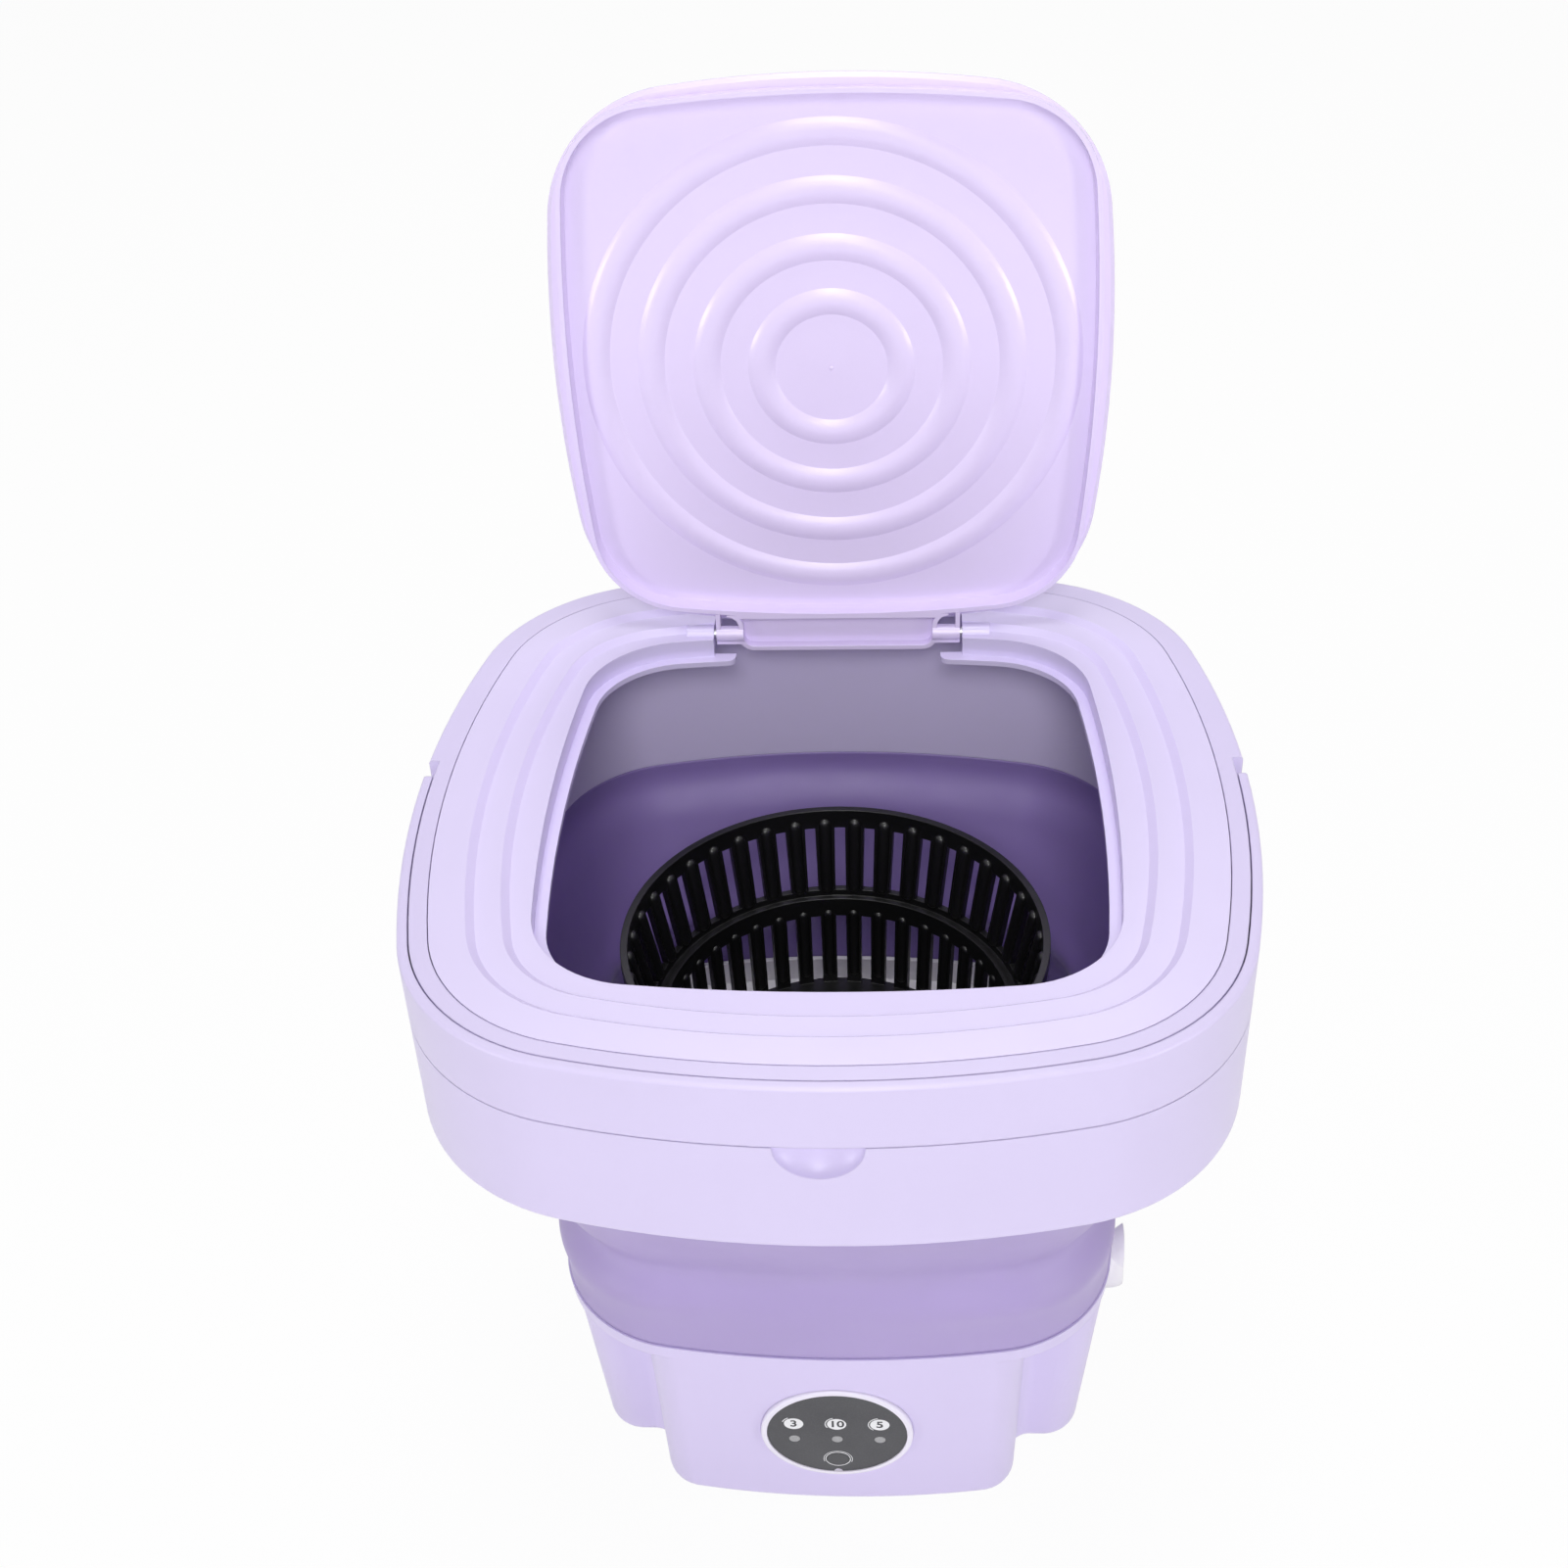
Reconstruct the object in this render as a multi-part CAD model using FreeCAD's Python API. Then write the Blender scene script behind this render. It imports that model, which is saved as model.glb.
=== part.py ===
import FreeCAD, Part
import math
import os
from collections import namedtuple

# Portable folding washing machine, in millimetres.
# The floor is z = 0, +Z is up and the control panel faces -Y. The lid is modelled open.

V = FreeCAD.Vector
X_AXIS = V(1, 0, 0)
Z_AXIS = V(0, 0, 1)
Plan = namedtuple("Plan", "half_x half_y corner_r bulge y0")

# Heights
FOOT_PAD = 2.0
BASE_HEIGHT = 109.8
WALL_HEIGHT = 113.5
RIM_LIP = 8.0
RIM_HEIGHT = 75.7
RIM_LIP_Z = BASE_HEIGHT + WALL_HEIGHT
RIM_BOTTOM = RIM_LIP_Z + RIM_LIP
RIM_TOP = RIM_BOTTOM + RIM_HEIGHT

# Plan outlines: four bowed sides and four corner arcs
RIM = Plan(half_x=161.5, half_y=168.0, corner_r=80.0, bulge=8.7, y0=0.0)
BASE = Plan(half_x=118.8, half_y=118.8, corner_r=55.0, bulge=4.6, y0=0.0)
RECESS_INSET = 51.2
RECESS_INSET_FRONT = 52.5
RECESS_INSET_BACK = 49.8
RECESS_CORNER_R = 42.0
RECESS_BULGE = 3.5
RECESS = Plan(
    half_x=RIM.half_x - RECESS_INSET,
    half_y=RIM.half_y - (RECESS_INSET_FRONT + RECESS_INSET_BACK) / 2,
    corner_r=RECESS_CORNER_R,
    bulge=RECESS_BULGE,
    y0=(RECESS_INSET_FRONT - RECESS_INSET_BACK) / 2,
)
RECESS_BACK_Y = RECESS.y0 + RECESS.half_y

# Running and seating clearances
RUN_GAP = 0.06
SEAT_GAP = 0.3
SEAM_GAP = 0.35
CUT = 1.0
# Most of a wall that a fillet may take
FILLET_SHARE = 0.9

# Base shell: tapered, with four lobes that stand on the floor
BASE_WALL = 3.0
FOOT_REACH = 108.4
FOOT_HALF_WIDTH = 75.3
FOOT_HALF_WIDTH_TOP = 77.5
FOOT_EDGE_R = 16.0
FOOT_INNER_R = 8.0
FOOT_BOTTOM_R = 6.5
ROOF_Z = 103.0
BASE_FLANGE = 5.0
OPENING_INSET = 14.0
MIN_CORNER_R = 1.0

# Bottom cover, its screws and the rubber feet
COVER_INSET = 10.0
COVER_THICK = 2.4
COVER_BOSS_R = 5.0
COVER_BOSS_ROOT = 2.0
COVER_BOSS_HEIGHT = 12.0
SCREW_HEAD_R = 3.0
SCREW_HEAD_H = 1.6
SCREW_R = 1.5
RUBBER_FOOT_R = 9.0
RUBBER_FOOT_X = 45.0
RUBBER_FOOT_Y = 78.0
RUBBER_FOOT_DRAFT = 0.8

# Tub liner: a squared lip on a round basin, with the shaft boss in its floor
LINER_WALL = 2.5
LINER_LIP = 11.0
BASIN_FLOOR_Z = 78.0
BASIN_TOP_R = 98.0
BASIN_FLOOR_R = 92.0
BASIN_CORNER_R = 8.0
BOSS_R = 16.0
BOSS_TOP = 6.0
BOSS_BOTTOM_Z = 57.0
POST_R = 5.0

# Folding wall: a root over the liner's lip, a ridge, a waist, a shoulder and a collar under the rim
WALL_THICK = 2.5
WALL_COLLAR = 11.0
ROOT_IN = 0.8
RIDGE_UP = 28.0
RIDGE_IN = 0.2
WAIST_UP = 46.0
WAIST_IN = 3.4
SHOULDER_DOWN = 12.5
SHOULDER_IN = 9.0

# Rim shell
RIM_WALL = 3.0
CHANNEL_WIDTH = 25.0
LIP_THICK = 2.5
LAND_INSET = 11.0
LAND_THICK = 3.0
SHELF_DROP = 9.0
SHELF_REACH = 15.0
RIM_BOTTOM_R = 3.0
RIM_TOP_R = 1.5
SCOOP_HALF_WIDTH = 15.5
SCOOP_DEPTH = 7.5
SCOOP_HEIGHT = 14.0

# Carrying handle: a flat strap in a seat round the front of the rim
HANDLE_THICK = 3.9
HANDLE_BAND = 27.0
HANDLE_GAP = 0.5
HANDLE_END_Y = 6.3
HANDLE_END_R = 13.0
NOTCH_LENGTH = 10.7
HANDLE_HOLLOW = 1.0
HANDLE_HOLLOW_EDGE = 3.0
HANDLE_PIN_R = 3.0
HANDLE_PIN_HEAD_R = 4.5
HANDLE_PIN_HEAD = 2.0
HANDLE_PIN_REACH = 2.9
PIVOT_BACK = 13.3
LEDGE_Z = RIM_TOP - HANDLE_BAND
SEAT_INSET = HANDLE_THICK + HANDLE_GAP
NOTCH_Y = HANDLE_END_Y + NOTCH_LENGTH
PIVOT_Y = HANDLE_END_Y - PIVOT_BACK
PIVOT_Z = RIM_TOP - HANDLE_BAND / 2

# Top cover: terraces that step down to a recess round the loading opening
COVER_WALL = 2.5
TERRACE_INSETS = (24.6, 37.3)
TERRACE_DROP = 2.5
TERRACE_RUN = 3.0
RECESS_DEPTH = 8.5
LEDGE_WIDTH = 4.5
TERRACE_TOTAL = TERRACE_DROP * len(TERRACE_INSETS)
RECESS_TOP_Z = RIM_TOP - TERRACE_TOTAL
LEDGE_TOP_Z = RECESS_TOP_Z - RECESS_DEPTH
LEDGE_BOTTOM_Z = LEDGE_TOP_Z - COVER_WALL

# Lid and hinge
LID_OPEN_ANGLE = 90.0
LID_REST_GAP = 0.4
LID_WALL = 2.6
LID_CROWN = 3.4
LID_SHOULDER = 9.0
LID_FLANGE = 2.8
LID_CORNER_R = 55.0
LID_EDGE_BEVEL = 1.6
LID_SKIRT_GAP = 1.8
LID_SKIRT_BACK = 4.2
LID_SKIRT_WALL = 2.0
LID_SKIRT_DROP = 3.2
LID_DRAFT = 0.8
LID_RING_RADII = (28.4, 50.8, 73.6, 96.0)
LID_RING_WIDTH = 11.0
LID_RING_HEIGHT = 1.7
HINGE_BACK = 4.6
HINGE_DROP = 6.0
HINGE_PIN_R = 2.0
HINGE_PIN_LENGTH = 15.0
HINGE_PIN_IN_COVER = 8.0
BARREL_R = 3.5
TAB_HALF = 43.5
TAB_REACH = 7.7
TAB_CORNER_R = 6.5
TAB_FLARE_R = 5.0
TAB_DEPTH = 4.4
TAB_WALL = 2.0
TAB_ROOT = 0.5
EAR_HALF = 53.5
EAR_REACH = 4.5
EAR_WALL = 2.0
EAR_GAP = 1.0
PIN_BOSS = 2.0
LEDGE_TAB_HALF = 45.0
LEDGE_END_R = 4.0
SHOULDER_WIDTH = 12.0
BAY_DEPTH = 11.0
HINGE_Y = RECESS_BACK_Y + HINGE_BACK
HINGE_Z = RIM_TOP - HINGE_DROP
BAY_HALF = EAR_HALF + EAR_GAP
LID_UNDER_Z = RECESS_TOP_Z + LID_REST_GAP

# Drive: motor pinion, gear, shaft and pulsator
SHAFT_R = 4.0
SHAFT_BOTTOM_Z = 12.0
BEARING_R = 11.0
BEARING_WIDTH = 7.0
SEAL_R = 8.0
SEAL_HEIGHT = 7.0
CLIP_R = 7.0
CLIP_THICK = 1.2
BRACKET_Z = 28.0
BRACKET_THICK = 3.0
BUSH_R = 6.0
BUSH_HEIGHT = 8.0
BUSH_FLANGE_R = 8.0
BUSH_FLANGE = 2.0
GEAR_MODULE = 1.5
GEAR_TEETH = 44
PINION_TEETH = 14
PRESSURE_ANGLE = 25.0
TOOTH_PLAY = 0.25
DEDENDUM = 1.25
GEAR_Z = 15.0
GEAR_WIDTH = 9.0
GEAR_HUB_R = 9.0
GEAR_HUB = 3.0
AXLE_DISTANCE = GEAR_MODULE * (GEAR_TEETH + PINION_TEETH) / 2
MOTOR_R = 18.0
MOTOR_LENGTH = 38.0
MOTOR_NOSE_R = 6.5
MOTOR_TAIL_R = 5.0
MOTOR_TAIL = 3.0
MOTOR_SHAFT_R = 1.6
MOTOR_SHAFT_IN = 6.0
MOTOR_SCREW_SPREAD = 12.5
BRACKET_POST_X = 34.0
BRACKET_POST_BACK = 16.5
BRACKET_POST_FRONT = 18.0
BRACKET_MARGIN = 7.0
BRACKET_CORNER_R = 6.0

PULSATOR_R = 62.0
PULSATOR_DISC = 4.0
PULSATOR_LIFT = 1.5
PULSATOR_CONE_R = 40.0
PULSATOR_NECK_R = 15.0
PULSATOR_CONE = 11.0
VANE_COUNT = 6
VANE_THICK = 5.0
VANE_REACH = 58.0
VANE_TIP = 4.0
VANE_ROOT = 15.0
POST_FLATS = 20.0
POST_TOP_Z = 141.2
PULSATOR_SCREW_R = 2.0
PULSATOR_SCREW_HEAD_R = 4.4
PULSATOR_SCREW_HEAD = 3.0
SHAFT_TO_POST_TOP = 29.0
SCREW_IN_SHAFT = 11.0
BOSS_TOP_Z = BASIN_FLOOR_Z + BOSS_TOP
PULSATOR_Z = BOSS_TOP_Z + PULSATOR_LIFT
SHAFT_TOP_Z = POST_TOP_Z - SHAFT_TO_POST_TOP

# Spin basket: two slotted tiers that stand on the pulsator post
BASKET_WALL = 2.4
BASKET_FLOOR_R = 70.2
BASKET_LOWER_TOP_R = 72.8
BASKET_UPPER_R = 77.8
BASKET_TOP_R = 85.2
BASKET_RING = 3.0
BASKET_RING_HEIGHT = 6.0
BASKET_LOWER_HEIGHT = 42.5
BASKET_UPPER_HEIGHT = 39.0
BASKET_LIP = 2.0
BASKET_STEP = 2.5
BASKET_SLOTS = 40
UPPER_SLOT = 4.8
LOWER_SLOT = 4.6
SLOT_END = 3.0
LOWER_SLOT_TOP = 5.0
BASKET_HUB_R = 15.0
BASKET_HUB_LIFT = 1.0
BASKET_Z = POST_TOP_Z + SEAT_GAP
BASKET_HUB_Z = PULSATOR_Z + PULSATOR_DISC + VANE_ROOT + BASKET_HUB_LIFT
BASKET_FLOOR_TOP = BASKET_Z + BASKET_WALL
BASKET_STEP_Z = BASKET_FLOOR_TOP + BASKET_LOWER_HEIGHT
BASKET_RING_Z = BASKET_STEP_Z + BASKET_UPPER_HEIGHT

# Control panel, set square to the sloping front wall
PANEL_Z = 57.0
PANEL_R = 29.0
BEZEL_R = 31.6
BEZEL_SEAT = 1.4
BEZEL_PROUD = 1.0
BEZEL_EDGE_R = 0.8
OVERLAY_THICK = 1.0
OVERLAY_SUNK = 0.4
SPIGOT_R = 27.8
SPIGOT_WALL = 2.0
PANEL_PAD_R = 35.0
BOARD_BACK = 12.4
BOARD_THICK = 1.6
LAMP_SPREAD = 17.8
LAMP_DOWN = 4.1
LAMP_R = 2.3
LAMP_BODY_R = 1.5
LAMP_BODY = 3.0
BUTTON_DOWN = 19.4
BUTTON_R = 4.7
BUTTON_FLANGE_R = 6.0
BUTTON_FLANGE = 1.0
BUTTON_PROUD = 0.3
BUTTON_STEM_R = 1.8
BUTTON_TRAVEL = 0.5
SWITCH_SIZE = 6.0
SWITCH_HEIGHT = 4.1
PRY_NOTCH_R = 1.8

# Power inlet in the back wall
INLET_Z = 30.0
INLET_R = 5.5
INLET_FLANGE_R = 7.5
INLET_FLANGE = 1.2
INLET_LENGTH = 15.0
INLET_BORE_R = 3.2
INLET_BORE_DEPTH = 10.0
INLET_PIN_R = 1.0

# Drain pipe and swivelling spout on the right side
DRAIN_EDGE = 14.0
DRAIN_X = BASIN_FLOOR_R - DRAIN_EDGE
DRAIN_Z = 34.0
DRAIN_PIPE_R = 9.0
DRAIN_BORE_R = 6.5
DRAIN_BEND_R = 14.0
DRAIN_FLANGE_R = 13.0
DRAIN_FLANGE = 2.0
GASKET_THICK = 1.0
SPOUT_HUB_R = 12.5
SPOUT_TUBE_R = 9.5
SPOUT_BORE_R = 7.0
SPOUT_ANGLE = 50.0
SPOUT_STANDOFF = 2.0
SPOUT_HUB = 9.0
SPOUT_OVERLAP = 5.0
SPOUT_OUT = 15.0


def side_radius(reach, other, corner_r, bulge):
    """Radius of a bowed side that runs tangent into its corner arcs."""
    to_corner = corner_r + bulge
    corner_along = other - to_corner
    return (to_corner**2 + corner_along**2 - corner_r**2) / (2 * bulge)


def squircle(plan, inset=0.0, z=0.0):
    """Closed outline of eight tangent arcs, drawn in by inset."""
    centre = V(plan.half_x - plan.corner_r - plan.bulge, plan.half_y - plan.corner_r - plan.bulge, 0)
    side_r = side_radius(plan.half_x, plan.half_y, plan.corner_r, plan.bulge)
    end_r = side_radius(plan.half_y, plan.half_x, plan.corner_r, plan.bulge)
    to_side = (centre - V(plan.half_x - side_r, 0, 0)).normalize()
    to_end = (centre - V(0, plan.half_y - end_r, 0)).normalize()
    to_mid = (to_side + to_end).normalize()
    corner_r = plan.corner_r - inset
    side_point = centre + to_side * corner_r
    mid_point = centre + to_mid * corner_r
    end_point = centre + to_end * corner_r
    side_mid = V(plan.half_x - inset, 0, 0)
    end_mid = V(0, plan.half_y - inset, 0)

    def at(point, x_sign, y_sign):
        return V(x_sign * point.x, plan.y0 + y_sign * point.y, z)

    arcs = []
    for sign in (1, -1):
        side_start = at(side_point, sign, -sign)
        side_stop = at(side_point, sign, sign)
        end_start = at(end_point, sign, sign)
        end_stop = at(end_point, -sign, sign)
        next_side = at(side_point, -sign, sign)
        arcs.append(Part.Arc(side_start, at(side_mid, sign, 1), side_stop))
        arcs.append(Part.Arc(side_stop, at(mid_point, sign, sign), end_start))
        arcs.append(Part.Arc(end_start, at(end_mid, 1, sign), end_stop))
        arcs.append(Part.Arc(end_stop, at(mid_point, -sign, sign), next_side))
    return Part.Wire([arc.toShape() for arc in arcs])


def prism(plan, inset, z_low, z_high):
    return Part.Face(squircle(plan, inset, z_low)).extrude(V(0, 0, z_high - z_low))


def ring(plan, inset_out, inset_in, z_low, z_high):
    return prism(plan, inset_out, z_low, z_high).cut(prism(plan, inset_in, z_low, z_high))


def frustum(plan, inset_low, z_low, inset_high, z_high):
    return Part.makeLoft([squircle(plan, inset_low, z_low), squircle(plan, inset_high, z_high)], True, True)


def block(x_low, x_high, y_low, y_high, z_low, z_high):
    return Part.makeBox(x_high - x_low, y_high - y_low, z_high - z_low, V(x_low, y_low, z_low))


def tube(radius, bore, z_low, z_high, x=0.0, y=0.0):
    outer = Part.makeCylinder(radius, z_high - z_low, V(x, y, z_low))
    return outer.cut(Part.makeCylinder(bore, z_high - z_low, V(x, y, z_low)))


def rod(radius, z_low, z_high, x=0.0, y=0.0):
    return Part.makeCylinder(radius, z_high - z_low, V(x, y, z_low))


def cross_rod(radius, x_low, x_high, y, z):
    return Part.makeCylinder(radius, x_high - x_low, V(x_low, y, z), X_AXIS)


def revolve(points):
    """Solid of revolution about Z from (radius, height) points."""
    corners = [V(r, 0, z) for r, z in points]
    face = Part.Face(Part.makePolygon(corners + corners[:1]))
    return face.revolve(V(0, 0, 0), Z_AXIS, 360)


def both_sides(shape):
    """The shape and its mirror image across the middle plane."""
    return [shape, shape.mirror(V(0, 0, 0), X_AXIS)]


def turned(shape, angle):
    copy = shape.copy()
    copy.rotate(V(0, 0, 0), Z_AXIS, angle)
    return copy


def around(shape, count):
    return [turned(shape, 360.0 * k / count) for k in range(count)]


def flat_edges(shape, z, outline=None):
    """Edges that lie level at height z, and on the outline where one is given."""
    tolerance = 0.01
    found = []
    for edge in shape.Edges:
        level = abs(edge.BoundBox.ZMin - z) < tolerance and abs(edge.BoundBox.ZMax - z) < tolerance
        if not level:
            continue
        middle = edge.valueAt((edge.FirstParameter + edge.LastParameter) / 2)
        if outline is None or outline.distToShape(Part.Vertex(middle))[0] < tolerance:
            found.append(edge)
    return found


def upright_edges(shape, z_low, z_high):
    """Straight vertical edges that run from z_low to z_high."""
    tolerance = 0.01
    found = []
    for edge in shape.Edges:
        box = edge.BoundBox
        spans = abs(box.ZMin - z_low) < tolerance and abs(box.ZMax - z_high) < tolerance
        if spans and box.XLength < tolerance and box.YLength < tolerance:
            found.append(edge)
    return found


# Base

def reach_at(z):
    """Half size of the tapering base at height z."""
    return FOOT_REACH + (BASE.half_x - FOOT_REACH) * z / BASE_HEIGHT


def base_inset_at(z):
    return BASE.half_x - reach_at(z)


def foot_outline(inset, z):
    """Cross-shaped outline of the four lobes at height z, drawn in by inset."""
    reach = reach_at(z) - inset
    widening = (FOOT_HALF_WIDTH_TOP - FOOT_HALF_WIDTH) * z / ROOF_Z
    half_width = FOOT_HALF_WIDTH + widening - inset
    edge_r = max(FOOT_EDGE_R - inset, MIN_CORNER_R)
    inner_r = FOOT_INNER_R + inset
    bow_r = side_radius(BASE.half_x, BASE.half_y, BASE.corner_r, BASE.bulge) - base_inset_at(z) - inset
    bow_y = reach - bow_r
    edge_x = half_width - edge_r
    edge_y = bow_y + math.sqrt((bow_r - edge_r) ** 2 - edge_x**2)
    out = V(edge_x, edge_y - bow_y, 0).normalize()
    bow_end = V(edge_x, edge_y, z) + out * edge_r
    edge_mid = V(edge_x, edge_y, z) + (out + X_AXIS).normalize() * edge_r
    edge_end = V(half_width, edge_y, z)
    inner_start = V(half_width, half_width + inner_r, z)
    inner_centre = V(half_width + inner_r, half_width + inner_r, z)
    inner_mid = inner_centre - V(1, 1, 0).normalize() * inner_r
    inner_end = V(half_width + inner_r, half_width, z)

    def swapped(point):
        return V(point.y, point.x, z)

    lobe = [
        Part.Arc(V(-bow_end.x, bow_end.y, z), V(0, reach, z), bow_end).toShape(),
        Part.Arc(bow_end, edge_mid, edge_end).toShape(),
        Part.LineSegment(edge_end, inner_start).toShape(),
        Part.Arc(inner_start, inner_mid, inner_end).toShape(),
        Part.LineSegment(inner_end, swapped(edge_end)).toShape(),
        Part.Arc(swapped(edge_end), swapped(edge_mid), swapped(bow_end)).toShape(),
    ]
    return Part.Wire([turned(edge, -90.0 * k) for k in range(4) for edge in lobe])


def foot_prism(inset, z_low, z_high):
    """Straight-sided cross with the outline of the base's bottom."""
    solid = Part.Face(foot_outline(inset, FOOT_PAD)).extrude(V(0, 0, z_high - z_low))
    solid.translate(V(0, 0, z_low - FOOT_PAD))
    return solid


def on_wall(shape, z, back=False):
    """Stands a shape made along +Z square to the sloping front or back wall at height z."""
    slope = math.degrees(math.atan2(BASE.half_x - FOOT_REACH, BASE_HEIGHT))
    placed = shape.copy()
    placed.rotate(V(0, 0, 0), X_AXIS, 90.0 + slope)
    placed.translate(V(0, -reach_at(z), z))
    return turned(placed, 180.0) if back else placed


def cover_screw_places():
    """One screw in each lobe, in a boss that is rooted in the bottom flange."""
    reach = reach_at(FOOT_PAD) - OPENING_INSET + COVER_BOSS_ROOT - COVER_BOSS_R
    return [turned(Part.Vertex(reach, 0, 0), 90.0 * k).Point for k in range(4)]


def base_shell():
    lobes = Part.makeLoft([foot_outline(0, FOOT_PAD), foot_outline(0, ROOF_Z)], True, True)
    lobes = lobes.makeFillet(FOOT_BOTTOM_R, flat_edges(lobes, FOOT_PAD))
    band = frustum(BASE, base_inset_at(ROOF_Z), ROOF_Z, 0, BASE_HEIGHT)
    shell = lobes.fuse(band)
    flange_top = FOOT_PAD + BASE_FLANGE
    roof_top = ROOF_Z + BASE_WALL
    inside_low = foot_outline(BASE_WALL, flange_top)
    inside_high = foot_outline(BASE_WALL, roof_top)
    inside = Part.makeLoft([inside_low, inside_high], True, True)
    mouth = frustum(BASE, base_inset_at(roof_top) + BASE_WALL, roof_top, BASE_WALL, BASE_HEIGHT)
    shell = shell.cut(inside).cut(mouth)
    pad = on_wall(rod(PANEL_PAD_R, -BEZEL_SEAT - BASE_WALL, -BEZEL_SEAT), PANEL_Z)
    pad = pad.common(Part.makeLoft([foot_outline(0, FOOT_PAD), foot_outline(0, ROOF_Z)], True, True))
    shell = shell.fuse(pad)
    shell = shell.cut(on_wall(rod(BEZEL_R + SEAT_GAP, -BEZEL_SEAT, BEZEL_PROUD + CUT), PANEL_Z))
    shell = shell.cut(on_wall(rod(SPIGOT_R + SEAT_GAP, -BOARD_BACK, CUT), PANEL_Z))
    shell = shell.cut(on_wall(rod(INLET_R + SEAT_GAP, -INLET_LENGTH, CUT), INLET_Z, back=True))
    shell = shell.cut(cross_rod(DRAIN_PIPE_R + SEAT_GAP, DRAIN_X, RIM.half_x, 0, DRAIN_Z))
    cover_top = FOOT_PAD + COVER_THICK + SEAT_GAP / 3
    shell = shell.cut(foot_prism(OPENING_INSET, 0, flange_top + CUT))
    shell = shell.cut(foot_prism(COVER_INSET, 0, cover_top))
    for place in cover_screw_places():
        boss = rod(COVER_BOSS_R, cover_top, cover_top + COVER_BOSS_HEIGHT, place.x, place.y)
        shell = shell.fuse(boss)
        shell = shell.cut(rod(SCREW_R + RUN_GAP, 0, cover_top + COVER_BOSS_HEIGHT - CUT, place.x, place.y))
    return shell


def bottom_cover():
    cover = foot_prism(COVER_INSET + SEAT_GAP, FOOT_PAD, FOOT_PAD + COVER_THICK)
    for place in cover_screw_places():
        cover = cover.cut(rod(SCREW_R + SEAT_GAP, 0, BASE_HEIGHT, place.x, place.y))
        cover = cover.cut(rod(SCREW_HEAD_R + SEAT_GAP, 0, FOOT_PAD + SCREW_HEAD_H, place.x, place.y))
    return cover


def pan_screw(x, y, head_z, tip_z, head_r=SCREW_HEAD_R, head_h=SCREW_HEAD_H, shank_r=SCREW_R):
    """Screw driven upwards, with its head under head_z."""
    head = rod(head_r, head_z - head_h, head_z, x, y)
    return head.fuse(rod(shank_r, head_z, tip_z, x, y))


def bottom_screws():
    seat = FOOT_PAD + SCREW_HEAD_H
    tip = FOOT_PAD + COVER_THICK + COVER_BOSS_HEIGHT - 2 * CUT
    places = cover_screw_places()
    return Part.makeCompound([pan_screw(p.x, p.y, seat, tip, head_h=SCREW_HEAD_H - SEAT_GAP) for p in places])


def rubber_feet():
    feet = []
    for x in (-RUBBER_FOOT_X, RUBBER_FOOT_X):
        for y in (-RUBBER_FOOT_Y, RUBBER_FOOT_Y):
            feet.append(Part.makeCone(RUBBER_FOOT_R - RUBBER_FOOT_DRAFT, RUBBER_FOOT_R, FOOT_PAD, V(x, y, 0)))
    return Part.makeCompound(feet)


# Tub liner and folding wall

LINER_SEAT_Z = ROOF_Z + BASE_WALL
LINER_INSET = base_inset_at(LINER_SEAT_Z) + BASE_WALL + SEAM_GAP
FLOOR_UNDER_Z = BASIN_FLOOR_Z - LINER_WALL
BRACKET_TOP_Z = BRACKET_Z + BRACKET_THICK
MOTOR_Y = AXLE_DISTANCE


def bracket_post_places():
    back = MOTOR_Y + BRACKET_POST_BACK
    return [(x, y) for x in (-BRACKET_POST_X, BRACKET_POST_X) for y in (-BRACKET_POST_FRONT, back)]


def basin(floor_r, floor_z, top_r, top_z):
    cone = Part.makeCone(floor_r, top_r, top_z - floor_z, V(0, 0, floor_z))
    return cone.makeFillet(BASIN_CORNER_R, flat_edges(cone, floor_z))


def tub_liner():
    flange_top = LINER_SEAT_Z + LINER_WALL
    lip = ring(BASE, LINER_INSET, LINER_INSET + LINER_WALL, LINER_SEAT_Z, BASE_HEIGHT + LINER_LIP)
    flange = prism(BASE, LINER_INSET, LINER_SEAT_Z, flange_top)
    bowl = basin(BASIN_FLOOR_R + LINER_WALL, FLOOR_UNDER_Z, BASIN_TOP_R + LINER_WALL, LINER_SEAT_Z)
    liner = lip.fuse([flange, bowl, rod(BOSS_R, BOSS_BOTTOM_Z, BASIN_FLOOR_Z)])
    liner = liner.cut(basin(BASIN_FLOOR_R, BASIN_FLOOR_Z, BASIN_TOP_R, flange_top))
    liner = liner.fuse(rod(BOSS_R, FLOOR_UNDER_Z, BOSS_TOP_Z))
    for x, y in bracket_post_places():
        post = tube(POST_R, SCREW_R + RUN_GAP, BRACKET_TOP_Z, FLOOR_UNDER_Z - CUT, x, y)
        liner = liner.fuse(post.fuse(rod(POST_R, FLOOR_UNDER_Z - CUT, FLOOR_UNDER_Z, x, y)))
    liner = liner.cut(rod(SHAFT_R + SEAT_GAP, BOSS_BOTTOM_Z, BOSS_TOP_Z))
    liner = liner.cut(rod(BEARING_R + RUN_GAP, BOSS_BOTTOM_Z, BOSS_BOTTOM_Z + BEARING_WIDTH))
    liner = liner.cut(rod(SEAL_R + RUN_GAP, BOSS_TOP_Z - SEAL_HEIGHT, BOSS_TOP_Z))
    return liner.cut(rod(DRAIN_PIPE_R + RUN_GAP, FLOOR_UNDER_Z - CUT, BASIN_FLOOR_Z + CUT, DRAIN_X))


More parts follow.
